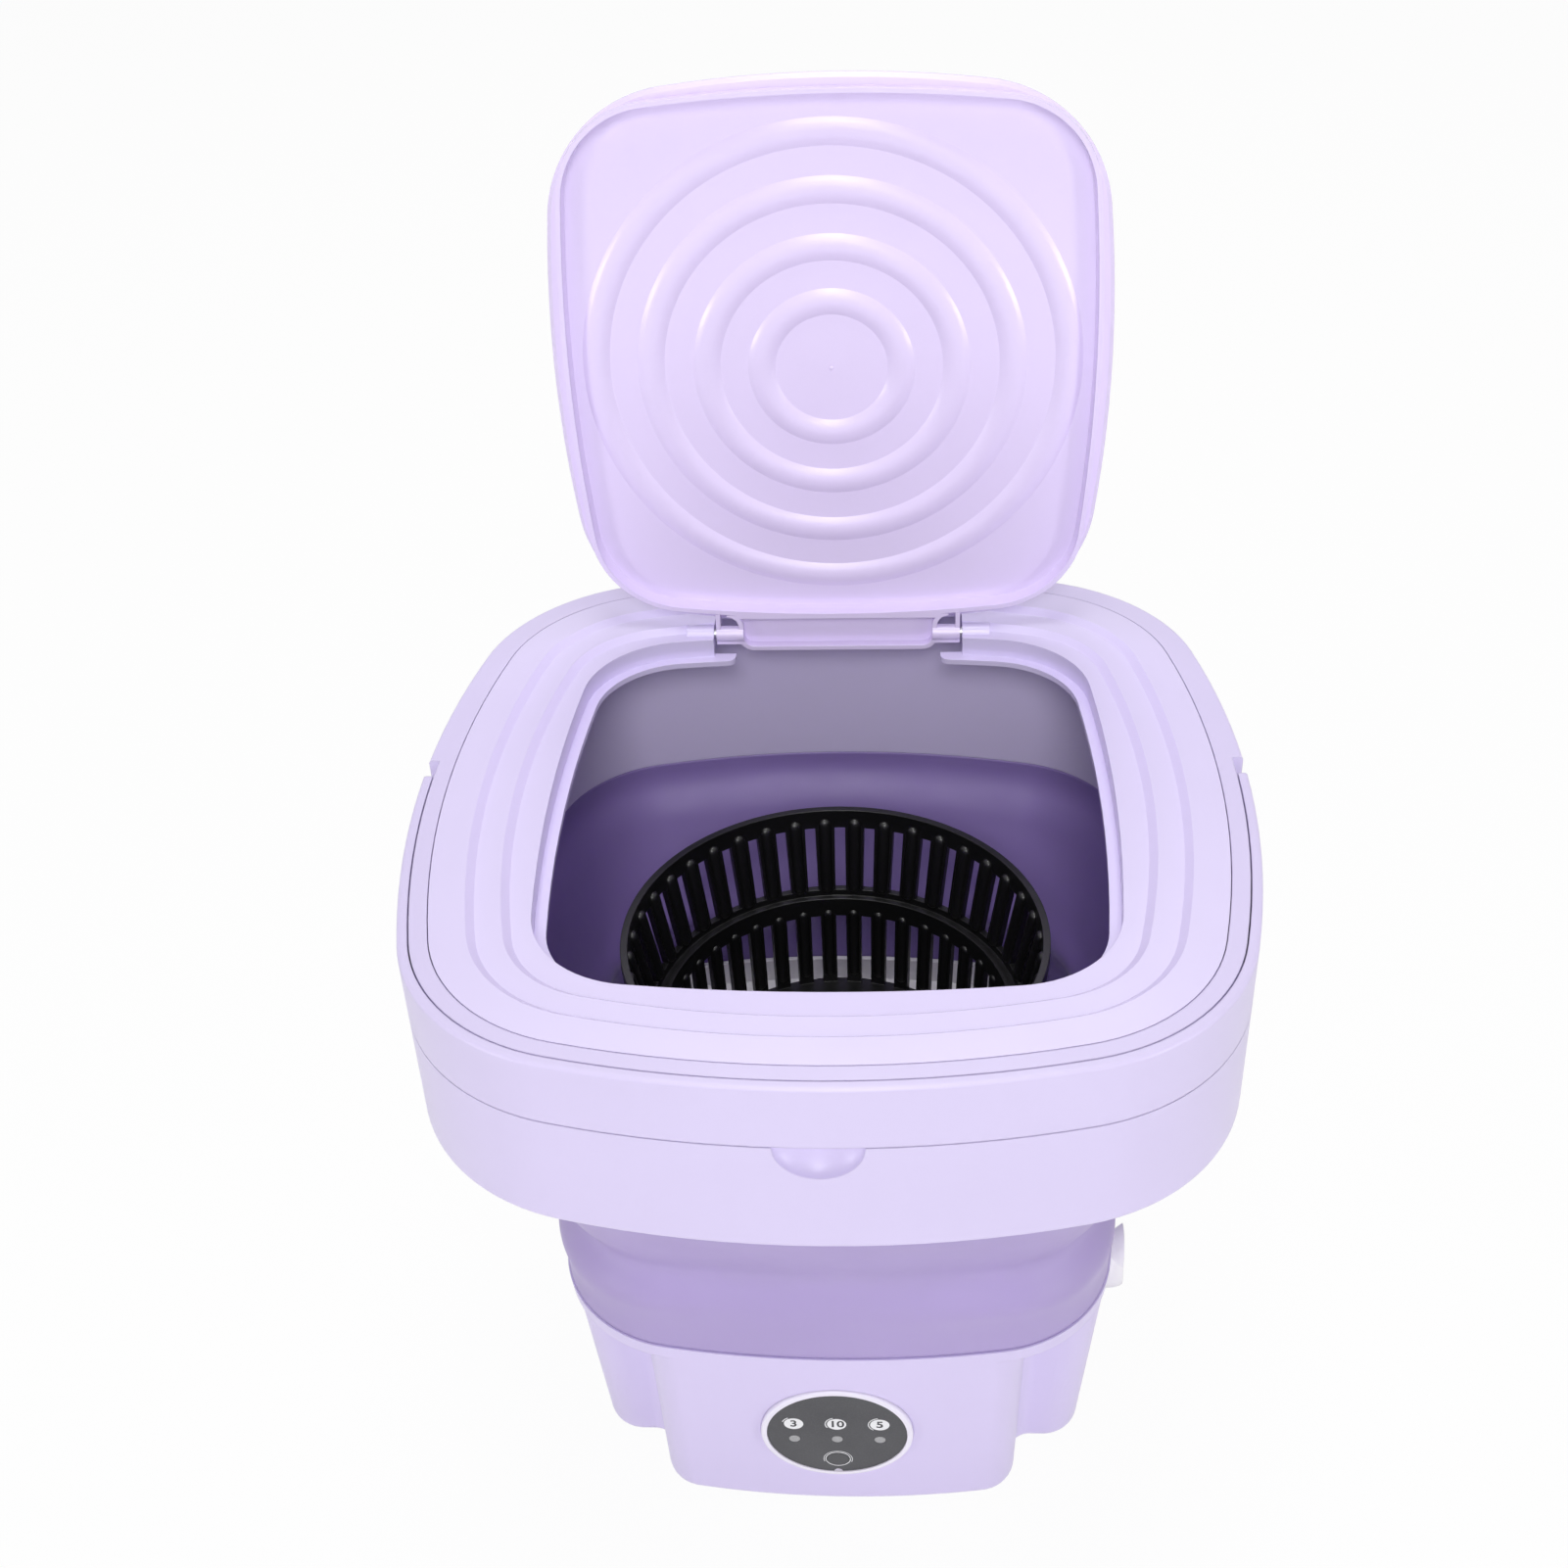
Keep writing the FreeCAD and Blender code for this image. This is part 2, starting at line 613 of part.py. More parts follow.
def folding_wall():
    """Soft wall that rises to a ridge, draws in to a waist and flares to a collar under the rim."""
    collar_inset = CHANNEL_WIDTH - LIP_THICK
    collar_z = RIM_LIP_Z - WALL_COLLAR
    stations = [
        (BASE, ROOT_IN, BASE_HEIGHT),
        (BASE, RIDGE_IN, BASE_HEIGHT + RIDGE_UP),
        (BASE, WAIST_IN, BASE_HEIGHT + WAIST_UP),
        (RIM, collar_inset + SHOULDER_IN, collar_z - SHOULDER_DOWN),
        (RIM, collar_inset, collar_z),
        (RIM, collar_inset, RIM_LIP_Z),
    ]
    outer = Part.makeLoft([squircle(plan, inset, z) for plan, inset, z in stations], True, True)
    inner = Part.makeLoft([squircle(plan, inset + WALL_THICK, z) for plan, inset, z in stations], True, True)
    return outer.cut(inner)


# Rim, handle and top cover

def front_of(y):
    return block(-RIM.half_x - CUT, RIM.half_x + CUT, -RIM.half_y - CUT, y, 0, RIM_TOP + CUT)


def behind(y):
    return block(-RIM.half_x - CUT, RIM.half_x + CUT, y, RIM.half_y + CUT, 0, RIM_TOP + CUT)


def scoop(grow):
    """Egg-shaped finger hollow under the middle of the handle."""
    ball = Part.makeSphere(1.0)
    stretch = FreeCAD.Matrix()
    stretch.A11 = SCOOP_HALF_WIDTH + grow
    stretch.A22 = SCOOP_DEPTH + grow
    stretch.A33 = SCOOP_HEIGHT + grow
    egg = ball.transformGeometry(stretch)
    egg.translate(V(0, -RIM.half_y, LEDGE_Z))
    return egg


def rim_shell():
    channel_in = CHANNEL_WIDTH - LIP_THICK
    upper_in = SEAT_INSET + RIM_WALL
    land_under = RIM_TOP - LAND_THICK
    wall_top = RIM_TOP - TERRACE_DROP - COVER_WALL - SEAT_GAP
    rim = prism(RIM, 0, RIM_BOTTOM, RIM_TOP)
    rim = rim.makeFillet(RIM_BOTTOM_R, flat_edges(rim, RIM_BOTTOM))
    rim = rim.makeFillet(RIM_TOP_R, flat_edges(rim, RIM_TOP))
    rim = rim.cut(ring(RIM, -CUT, SEAT_INSET, LEDGE_Z, RIM_TOP + CUT).common(front_of(NOTCH_Y)))
    rim = rim.cut(ring(RIM, RIM_WALL, channel_in, RIM_BOTTOM + RIM_WALL, LEDGE_Z - RIM_WALL))
    rim = rim.cut(ring(RIM, upper_in, channel_in, LEDGE_Z - RIM_WALL, land_under))
    back_void = ring(RIM, RIM_WALL, upper_in + CUT, LEDGE_Z - RIM_WALL, land_under)
    rim = rim.cut(back_void.common(behind(NOTCH_Y + RIM_WALL)))
    rim = rim.cut(prism(RIM, LAND_INSET, wall_top, RIM_TOP + CUT))
    shelf_z = RIM_TOP - SHELF_DROP
    shelf = ring(RIM, upper_in - CUT, SHELF_REACH, shelf_z - RIM_WALL, shelf_z)
    back_shelf = ring(RIM, CUT, SHELF_REACH, shelf_z - RIM_WALL, shelf_z).common(behind(NOTCH_Y + RIM_WALL))
    rim = rim.fuse([shelf, back_shelf])
    boss = scoop(RIM_WALL).common(ring(RIM, CUT, channel_in, RIM_BOTTOM + CUT, LEDGE_Z))
    rim = rim.fuse(boss).cut(scoop(0.0).common(prism(RIM, -CUT, RIM_BOTTOM, LEDGE_Z)))
    rim = rim.cut(prism(RIM, CHANNEL_WIDTH, RIM_BOTTOM - CUT, RIM_TOP + CUT))
    rim = rim.fuse(ring(RIM, channel_in, CHANNEL_WIDTH, RIM_LIP_Z, RIM_BOTTOM + RIM_WALL))
    # Pivot holes for the handle, with a pocket through the shelf for each pin's head
    pocket_in = RIM.half_x - channel_in
    pocket_out = RIM.half_x - upper_in
    for bore in both_sides(cross_rod(HANDLE_PIN_R + RUN_GAP, pocket_in, RIM.half_x, PIVOT_Y, PIVOT_Z)):
        rim = rim.cut(bore)
    pocket_r = HANDLE_PIN_HEAD_R + SEAT_GAP
    for pocket in both_sides(cross_rod(pocket_r, pocket_in, pocket_out, PIVOT_Y, PIVOT_Z)):
        rim = rim.cut(pocket)
    return rim


def handle_pivot_pins():
    head_out = RIM.half_x - SEAT_INSET - RIM_WALL - SEAT_GAP
    tip_out = RIM.half_x - SEAT_INSET + HANDLE_PIN_REACH
    pin = cross_rod(HANDLE_PIN_HEAD_R, head_out - HANDLE_PIN_HEAD, head_out, PIVOT_Y, PIVOT_Z)
    pin = pin.fuse(cross_rod(HANDLE_PIN_R, head_out, tip_out, PIVOT_Y, PIVOT_Z))
    return Part.makeCompound(both_sides(pin))


def handle():
    bottom = LEDGE_Z + HANDLE_GAP
    strap = prism(RIM, 0, bottom, RIM_TOP)
    strap = strap.makeFillet(RIM_TOP_R, flat_edges(strap, RIM_TOP))
    strap = strap.cut(prism(RIM, HANDLE_THICK, bottom - CUT, RIM_TOP + CUT))
    strap = strap.common(front_of(HANDLE_END_Y))
    hollow_low = bottom + HANDLE_HOLLOW_EDGE
    hollow_high = RIM_TOP - HANDLE_HOLLOW_EDGE
    hollow = ring(RIM, HANDLE_THICK - HANDLE_HOLLOW, HANDLE_THICK + CUT, hollow_low, hollow_high)
    strap = strap.cut(hollow.common(front_of(PIVOT_Y - 2 * HANDLE_END_R)))
    heel = block(-RIM.half_x - CUT, RIM.half_x + CUT, PIVOT_Y, HANDLE_END_Y + CUT, bottom - CUT, PIVOT_Z)
    heel = heel.cut(cross_rod(HANDLE_END_R, -RIM.half_x - CUT, RIM.half_x + CUT, PIVOT_Y, PIVOT_Z))
    strap = strap.cut(heel)
    eye_end = RIM.half_x - SEAT_INSET + HANDLE_PIN_REACH + SEAT_GAP
    for eye in both_sides(cross_rod(HANDLE_PIN_R + RUN_GAP, BASE.half_x, eye_end, PIVOT_Y, PIVOT_Z)):
        strap = strap.cut(eye)
    return strap


def is_ledge_end(edge):
    """True at the opening's edge, where the ledge stops beside the hinge tab."""
    box = edge.BoundBox
    beside_tab = abs(abs(box.Center.x) - LEDGE_TAB_HALF) < RUN_GAP
    return beside_tab and 0 < box.Center.y < RECESS_BACK_Y - LEDGE_WIDTH / 2


def top_cover():
    outer = LAND_INSET + SEAM_GAP
    skirt_z = RIM_TOP - SHELF_DROP
    cover = prism(RIM, outer, LEDGE_BOTTOM_Z, RIM_TOP)
    for step, inset in enumerate(TERRACE_INSETS):
        top = RIM_TOP - step * TERRACE_DROP
        cover = cover.cut(frustum(RIM, inset + TERRACE_RUN, top - TERRACE_DROP, inset, top))
    cover = cover.cut(prism(RECESS, 0, LEDGE_TOP_Z, RIM_TOP))
    cover = cover.cut(prism(RECESS, LEDGE_WIDTH, LEDGE_BOTTOM_Z - CUT, RIM_TOP))
    under = prism(RIM, outer + COVER_WALL, LEDGE_BOTTOM_Z - CUT, RIM_TOP - COVER_WALL)
    for step, inset in enumerate(TERRACE_INSETS):
        plate_low = RIM_TOP - (step + 1) * TERRACE_DROP - COVER_WALL
        under = under.cut(prism(RIM, inset - COVER_WALL, plate_low, RIM_TOP))
    under = under.cut(prism(RECESS, -COVER_WALL, LEDGE_BOTTOM_Z - 2 * CUT, RIM_TOP))
    cover = cover.cut(under)
    cover = cover.cut(ring(RIM, outer - CUT, outer + COVER_WALL + CUT, LEDGE_BOTTOM_Z - CUT, skirt_z))
    # Hinge bay at the back, with a solid shoulder each side to hold the pins
    shoulder_low = HINGE_Z - BARREL_R - COVER_WALL
    shoulder_out = BAY_HALF + SHOULDER_WIDTH
    shoulder_back = HINGE_Y + 2 * BARREL_R
    shoulder = block(BAY_HALF, shoulder_out, RECESS_BACK_Y, shoulder_back, shoulder_low, RECESS_TOP_Z)
    pin_boss = cross_rod(HINGE_PIN_R + PIN_BOSS, BAY_HALF, shoulder_out, HINGE_Y, HINGE_Z)
    cover = cover.fuse(both_sides(shoulder.fuse(pin_boss)))
    bay_low = LEDGE_BOTTOM_Z - CUT
    bay_high = RIM_TOP + CUT
    throat_back = RECESS_BACK_Y + CUT
    bay = block(-BAY_HALF, BAY_HALF, RECESS_BACK_Y, HINGE_Y + BAY_DEPTH, bay_low, bay_high)
    throat = block(-BAY_HALF, BAY_HALF, 0, throat_back, LEDGE_TOP_Z, bay_high)
    ledge_gap = block(-LEDGE_TAB_HALF, LEDGE_TAB_HALF, 0, throat_back, bay_low, bay_high)
    cover = cover.cut(bay).cut(throat).cut(ledge_gap)
    ledge_ends = [edge for edge in upright_edges(cover, LEDGE_BOTTOM_Z, LEDGE_TOP_Z) if is_ledge_end(edge)]
    cover = cover.makeFillet(min(LEDGE_END_R, FILLET_SHARE * LEDGE_WIDTH), ledge_ends)
    bore_end = BAY_HALF + HINGE_PIN_IN_COVER + SEAT_GAP
    for bore in both_sides(cross_rod(HINGE_PIN_R + RUN_GAP, BAY_HALF - CUT, bore_end, HINGE_Y, HINGE_Z)):
        cover = cover.cut(bore)
    return cover


# Lid, modelled closed and then swung open about its hinge

def ring_bead(radius, z):
    """Round ridge of circular section that hangs below height z."""
    half = LID_RING_WIDTH / 2
    arc = Part.Arc(V(radius - half, 0, z), V(radius, 0, z - LID_RING_HEIGHT), V(radius + half, 0, z))
    chord = Part.LineSegment(V(radius + half, 0, z), V(radius - half, 0, z))
    bead = Part.Face(Part.Wire([arc.toShape(), chord.toShape()])).revolve(V(0, 0, 0), Z_AXIS, 360)
    bead.translate(V(0, LID.y0, 0))
    return bead


def opened(shape):
    copy = shape.copy()
    copy.rotate(V(0, HINGE_Y, HINGE_Z), X_AXIS, -LID_OPEN_ANGLE)
    return copy


# The lid stops short of the back of the recess, where it hangs on its hinge
LID_BACK_IN = LID_SKIRT_BACK - LID_SKIRT_GAP
LID = RECESS._replace(
    half_x=RECESS.half_x + LID_FLANGE,
    half_y=RECESS.half_y + LID_FLANGE - LID_BACK_IN / 2,
    corner_r=LID_CORNER_R,
    y0=RECESS.y0 - LID_BACK_IN / 2,
)
SKIRT = RECESS._replace(half_y=RECESS.half_y - LID_BACK_IN / 2, y0=LID.y0)
SKIRT_BACK_Y = SKIRT.y0 + SKIRT.half_y - LID_SKIRT_GAP
SKIRT_BOTTOM_Z = LID_UNDER_Z - LID_SKIRT_DROP
LID_EDGE_TOP = LID_UNDER_Z + LID_WALL


def tab_outline(inset):
    """Tongue behind the lid's skirt, flared at its root and round at its outer corners, drawn in by inset."""
    half = TAB_HALF - inset
    end = HINGE_Y + TAB_REACH - inset
    corner_r = TAB_CORNER_R - inset
    flare_r = TAB_FLARE_R + inset
    flare_y = SKIRT_BACK_Y + TAB_FLARE_R - TAB_ROOT
    root = flare_y - flare_r - CUT
    short = 1 - math.sqrt(0.5)
    right = [
        Part.LineSegment(V(half + flare_r, root, 0), V(half + flare_r, flare_y - flare_r, 0)),
        Part.Arc(
            V(half + flare_r, flare_y - flare_r, 0),
            V(half + flare_r * short, flare_y - flare_r * (1 - short), 0),
            V(half, flare_y, 0),
        ),
        Part.LineSegment(V(half, flare_y, 0), V(half, end - corner_r, 0)),
        Part.Arc(
            V(half, end - corner_r, 0),
            V(half - corner_r * short, end - corner_r * short, 0),
            V(half - corner_r, end, 0),
        ),
    ]
    edges = [edge.toShape() for edge in right]
    edges += [edge.mirror(V(0, 0, 0), X_AXIS) for edge in edges]
    edges.append(Part.LineSegment(V(half - corner_r, end, 0), V(corner_r - half, end, 0)).toShape())
    edges.append(Part.LineSegment(V(half + flare_r, root, 0), V(-half - flare_r, root, 0)).toShape())
    return Part.Face(Part.Wire(Part.__sortEdges__(edges)))


def hinge_tab():
    """Tray-shaped tongue that carries the skirt's line on behind the lid, open on its underside."""
    tab = tab_outline(0).extrude(V(0, 0, TAB_DEPTH + TAB_WALL))
    hollow = tab_outline(TAB_WALL).extrude(V(0, 0, TAB_DEPTH))
    hollow = hollow.cut(block(-EAR_HALF, EAR_HALF, 0, SKIRT_BACK_Y + TAB_ROOT, -CUT, TAB_DEPTH + CUT))
    tab = tab.cut(hollow)
    tab.translate(V(0, 0, SKIRT_BOTTOM_Z))
    return tab


def hinge_ear():
    """Pocket beside the tongue, with an outer wall and an end wall round the hinge pin."""
    top = HINGE_Z + BARREL_R
    low = SKIRT_BOTTOM_Z
    inner = TAB_HALF - TAB_WALL
    back = HINGE_Y + EAR_REACH
    side = block(EAR_HALF - EAR_WALL, EAR_HALF, SKIRT_BACK_Y - LID_SKIRT_WALL, back, low, top)
    end = block(inner, EAR_HALF, back - EAR_WALL, back, low, top)
    barrel = cross_rod(BARREL_R, inner, EAR_HALF, HINGE_Y, HINGE_Z)
    return side.fuse([end, barrel])


def lid_closed():
    crown_top = LID_EDGE_TOP + LID_CROWN
    panel_under = crown_top - LID_WALL
    skirt_in = LID_SKIRT_GAP + LID_SKIRT_WALL
    edge_z = LID_UNDER_Z + LID_EDGE_BEVEL
    lid = frustum(LID, LID_EDGE_BEVEL, LID_UNDER_Z, 0, edge_z)
    lid = lid.fuse(prism(LID, 0, edge_z, LID_EDGE_TOP))
    lid = lid.fuse(frustum(LID, 0, LID_EDGE_TOP, LID_SHOULDER, crown_top))
    lid = lid.removeSplitter()
    # Opened, the lid stands with its trimmed back edge just above the rim
    trim_y = HINGE_Y - HINGE_DROP - SEAT_GAP
    lid = lid.cut(block(-RIM.half_x, RIM.half_x, trim_y, RIM.half_y, 0, RIM_TOP + 2 * LID_CROWN))
    lid = lid.cut(frustum(SKIRT, skirt_in, LID_UNDER_Z, skirt_in + LID_DRAFT, panel_under))
    lid = lid.fuse(ring(SKIRT, LID_SKIRT_GAP, skirt_in, SKIRT_BOTTOM_Z, LID_UNDER_Z + LID_WALL / 2))
    for radius in LID_RING_RADII:
        lid = lid.fuse(ring_bead(radius, panel_under)).cut(ring_bead(radius, crown_top))
    lid = lid.fuse([hinge_tab()] + both_sides(hinge_ear()))
    pin_start = BAY_HALF + HINGE_PIN_IN_COVER - HINGE_PIN_LENGTH
    for bore in both_sides(cross_rod(HINGE_PIN_R + RUN_GAP / 2, pin_start, EAR_HALF + CUT, HINGE_Y, HINGE_Z)):
        lid = lid.cut(bore)
    return lid


def lid():
    return opened(lid_closed())


def lid_hinge_pins():
    pin_end = BAY_HALF + HINGE_PIN_IN_COVER
    pin = cross_rod(HINGE_PIN_R, pin_end - HINGE_PIN_LENGTH, pin_end, HINGE_Y, HINGE_Z)
    return Part.makeCompound(both_sides(pin))


# Drive

def involute(angle):
    return math.tan(angle) - angle


def gear_outline(teeth, phase):
    """Spur gear outline at the origin, one tooth centred at the phase angle in radians."""
    pressure = math.radians(PRESSURE_ANGLE)
    pitch_r = GEAR_MODULE * teeth / 2
    base_r = pitch_r * math.cos(pressure)
    tip_r = pitch_r + GEAR_MODULE
    root_r = pitch_r - DEDENDUM * GEAR_MODULE
    half_tooth = math.pi / (2 * teeth) - TOOTH_PLAY / (2 * pitch_r)

    def half_angle(radius):
        roll = math.acos(min(1.0, base_r / radius))
        return half_tooth + involute(pressure) - involute(roll)

    def at(radius, angle):
        return V(radius * math.cos(angle), radius * math.sin(angle), 0)

    edges = []
    pitch_angle = 2 * math.pi / teeth
    for k in range(teeth):
        middle = phase + k * pitch_angle
        root = half_angle(root_r)
        flank = half_angle(pitch_r)
        tip = half_angle(tip_r)
        rise = at(root_r, middle - root)
        tip_start = at(tip_r, middle - tip)
        tip_stop = at(tip_r, middle + tip)
        fall = at(root_r, middle + root)
        next_rise = at(root_r, middle + pitch_angle - root)
        edges.append(Part.Arc(rise, at(pitch_r, middle - flank), tip_start))
        edges.append(Part.Arc(tip_start, at(tip_r, middle), tip_stop))
        edges.append(Part.Arc(tip_stop, at(pitch_r, middle + flank), fall))
        edges.append(Part.Arc(fall, at(root_r, middle + pitch_angle / 2), next_rise))
    return Part.Wire([edge.toShape() for edge in edges])


def spur_gear(teeth, phase):
    gear = Part.Face(gear_outline(teeth, phase)).extrude(V(0, 0, GEAR_WIDTH))
    gear.translate(V(0, 0, GEAR_Z))
    return gear


def drive_gear():
    gear = spur_gear(GEAR_TEETH, math.pi / 2)
    gear = gear.fuse(rod(GEAR_HUB_R, GEAR_Z, GEAR_Z + GEAR_WIDTH + GEAR_HUB))
    return gear.cut(rod(SHAFT_R, GEAR_Z - CUT, GEAR_Z + GEAR_WIDTH + 2 * GEAR_HUB))


def motor_pinion():
    pinion = spur_gear(PINION_TEETH, -math.pi / 2 - math.pi / PINION_TEETH)
    pinion.translate(V(0, MOTOR_Y, 0))
    return pinion.cut(rod(MOTOR_SHAFT_R, GEAR_Z - CUT, GEAR_Z + GEAR_WIDTH + CUT, 0, MOTOR_Y))


def motor_shaft():
    return rod(MOTOR_SHAFT_R, GEAR_Z - CUT, BRACKET_TOP_Z + MOTOR_SHAFT_IN, 0, MOTOR_Y)


def motor_screw_places():
    return [(x, MOTOR_Y) for x in (-MOTOR_SCREW_SPREAD, MOTOR_SCREW_SPREAD)]


def motor_can():
    top = BRACKET_TOP_Z + MOTOR_LENGTH
    can = rod(MOTOR_R, BRACKET_TOP_Z, top, 0, MOTOR_Y)
    can = can.makeFillet(MOTOR_TAIL, flat_edges(can, top))
    can = can.fuse(rod(MOTOR_NOSE_R, BRACKET_Z, BRACKET_TOP_Z, 0, MOTOR_Y))
    can = can.fuse(rod(MOTOR_TAIL_R, top, top + MOTOR_TAIL, 0, MOTOR_Y))
    shaft_hole_top = BRACKET_TOP_Z + MOTOR_SHAFT_IN + SEAT_GAP
    can = can.cut(rod(MOTOR_SHAFT_R + RUN_GAP, BRACKET_Z, shaft_hole_top, 0, MOTOR_Y))
    for x, y in motor_screw_places():
        can = can.cut(rod(SCREW_R + RUN_GAP, BRACKET_TOP_Z, BRACKET_TOP_Z + MOTOR_SHAFT_IN, x, y))
    return can


def motor_screws():
    tip = BRACKET_TOP_Z + MOTOR_SHAFT_IN - CUT
    return Part.makeCompound([pan_screw(x, y, BRACKET_Z, tip) for x, y in motor_screw_places()])


def motor_bracket():
    half_x = BRACKET_POST_X + BRACKET_MARGIN
    y_low = -BRACKET_POST_FRONT - BRACKET_MARGIN
    y_high = MOTOR_Y + BRACKET_POST_BACK + BRACKET_MARGIN
    plate = block(-half_x, half_x, y_low, y_high, BRACKET_Z, BRACKET_TOP_Z)
    upright = [e for e in plate.Edges if e.BoundBox.ZLength > BRACKET_THICK / 2]
    plate = plate.makeFillet(BRACKET_CORNER_R, upright)
    plate = plate.cut(rod(BUSH_R + RUN_GAP, BRACKET_Z, BRACKET_TOP_Z))
    plate = plate.cut(rod(MOTOR_NOSE_R + RUN_GAP, BRACKET_Z, BRACKET_TOP_Z, 0, MOTOR_Y))
    for x, y in bracket_post_places() + motor_screw_places():
        plate = plate.cut(rod(SCREW_R + SEAT_GAP, BRACKET_Z, BRACKET_TOP_Z, x, y))
    return plate


def bracket_screws():
    tip = BRACKET_TOP_Z + MOTOR_SHAFT_IN
    return Part.makeCompound([pan_screw(x, y, BRACKET_Z, tip) for x, y in bracket_post_places()])


def lower_bush():
    sleeve = rod(BUSH_R, BRACKET_Z, BRACKET_Z + BUSH_HEIGHT)
    sleeve = sleeve.fuse(rod(BUSH_FLANGE_R, BRACKET_TOP_Z, BRACKET_TOP_Z + BUSH_FLANGE))
    return sleeve.cut(rod(SHAFT_R + RUN_GAP, BRACKET_Z, BRACKET_Z + BUSH_HEIGHT))


def shaft_bearing():
    return tube(BEARING_R, SHAFT_R + RUN_GAP, BOSS_BOTTOM_Z, BOSS_BOTTOM_Z + BEARING_WIDTH)


def shaft_seal():
    return tube(SEAL_R, SHAFT_R + RUN_GAP, BOSS_TOP_Z - SEAL_HEIGHT, BOSS_TOP_Z)


def shaft_clip():
    top = BOSS_BOTTOM_Z - SEAT_GAP
    return tube(CLIP_R, SHAFT_R, top - CLIP_THICK, top)


def drive_shaft():
    shaft = rod(SHAFT_R, SHAFT_BOTTOM_Z, SHAFT_TOP_Z)
    return shaft.cut(rod(PULSATOR_SCREW_R, SHAFT_TOP_Z - SCREW_IN_SHAFT - CUT, SHAFT_TOP_Z))


def hexagon(flats, z_low, z_high):
    corners = [V(flats / math.sqrt(3), 0, z_low)]
    for k in range(1, 6):
        corners.append(turned(Part.Vertex(corners[0]), 60.0 * k).Point)
    return Part.Face(Part.makePolygon(corners + corners[:1])).extrude(V(0, 0, z_high - z_low))


def pulsator():
    disc_top = PULSATOR_Z + PULSATOR_DISC
    neck_z = disc_top + PULSATOR_CONE
    disc = rod(PULSATOR_R, PULSATOR_Z, disc_top)
    disc = disc.makeFillet(PULSATOR_DISC / 3, disc.Edges[0:1] + disc.Edges[2:3])
    body = disc.fuse(Part.makeCone(PULSATOR_CONE_R, PULSATOR_NECK_R, PULSATOR_CONE, V(0, 0, disc_top)))
    vane_profile = [V(SHAFT_R * 2, 0, disc_top - CUT), V(VANE_REACH, 0, disc_top - CUT)]
    vane_profile += [V(VANE_REACH, 0, disc_top + VANE_TIP), V(PULSATOR_NECK_R, 0, disc_top + VANE_ROOT)]
    vane_profile += [V(SHAFT_R * 2, 0, disc_top + VANE_ROOT)]
    vane = Part.Face(Part.makePolygon(vane_profile + vane_profile[:1])).extrude(V(0, VANE_THICK, 0))
    vane.translate(V(0, -VANE_THICK / 2, 0))
    body = body.fuse(around(vane, VANE_COUNT) + [hexagon(POST_FLATS, disc_top, POST_TOP_Z)])
    head_z = POST_TOP_Z - PULSATOR_SCREW_HEAD - CUT
    body = body.cut(rod(SHAFT_R, PULSATOR_Z, SHAFT_TOP_Z))
    body = body.cut(rod(PULSATOR_SCREW_R + RUN_GAP, SHAFT_TOP_Z, POST_TOP_Z))
    return body.cut(rod(PULSATOR_SCREW_HEAD_R + SEAT_GAP, head_z, POST_TOP_Z))


def pulsator_screw():
    head_z = POST_TOP_Z - PULSATOR_SCREW_HEAD - CUT
    head = rod(PULSATOR_SCREW_HEAD_R, head_z, head_z + PULSATOR_SCREW_HEAD)
    return head.fuse(rod(PULSATOR_SCREW_R, SHAFT_TOP_Z - SCREW_IN_SHAFT, head_z))


# Spin basket

def slot_cutters(width, r_low, r_high, z_low, z_high):
    cutter = block(r_low, r_high, -width / 2, width / 2, z_low, z_high)
    return around(cutter, BASKET_SLOTS)


def basket():
    ring_top = BASKET_RING_Z + BASKET_RING_HEIGHT
    lip_top = BASKET_STEP_Z + BASKET_STEP + BASKET_LIP
    step_top = BASKET_STEP_Z + BASKET_STEP
    shell = revolve(
        [
            (0, BASKET_Z),
            (BASKET_FLOOR_R + BASKET_WALL, BASKET_Z),
            (BASKET_LOWER_TOP_R + BASKET_WALL, BASKET_STEP_Z),
            (BASKET_UPPER_R + BASKET_WALL, BASKET_STEP_Z),
            (BASKET_TOP_R + BASKET_WALL, BASKET_RING_Z),
            (BASKET_TOP_R + BASKET_RING, BASKET_RING_Z),
            (BASKET_TOP_R + BASKET_RING, ring_top),
            (BASKET_TOP_R, ring_top),
            (BASKET_TOP_R, BASKET_RING_Z),
            (BASKET_UPPER_R, step_top),
            (BASKET_LOWER_TOP_R + BASKET_LIP, step_top),
            (BASKET_LOWER_TOP_R + BASKET_LIP, lip_top),
            (BASKET_LOWER_TOP_R, lip_top),
            (BASKET_LOWER_TOP_R, BASKET_STEP_Z),
            (BASKET_FLOOR_R, BASKET_FLOOR_TOP),
            (0, BASKET_FLOOR_TOP),
        ]
    )
    upper_low = step_top + SLOT_END
    upper_high = BASKET_RING_Z - SLOT_END
    lower_high = BASKET_STEP_Z - LOWER_SLOT_TOP
    outside = BASKET_TOP_R + BASKET_WALL
    cutters = slot_cutters(UPPER_SLOT, BASKET_LOWER_TOP_R + BASKET_LIP + CUT, outside, upper_low, upper_high)
    cutters += slot_cutters(LOWER_SLOT, BASKET_FLOOR_R - BASKET_WALL, outside, BASKET_FLOOR_TOP, lower_high)
    shell = shell.cut(Part.makeCompound(cutters))
    hub = rod(BASKET_HUB_R, BASKET_HUB_Z, BASKET_Z)
    hub = hub.cut(hexagon(POST_FLATS + 2 * SEAT_GAP, BASKET_HUB_Z - CUT, BASKET_Z))
    return shell.fuse(hub)


# Control panel, made along +Z and then stood on the front wall

def lamp_places():
    return [(x, -LAMP_DOWN) for x in (-LAMP_SPREAD, 0, LAMP_SPREAD)]


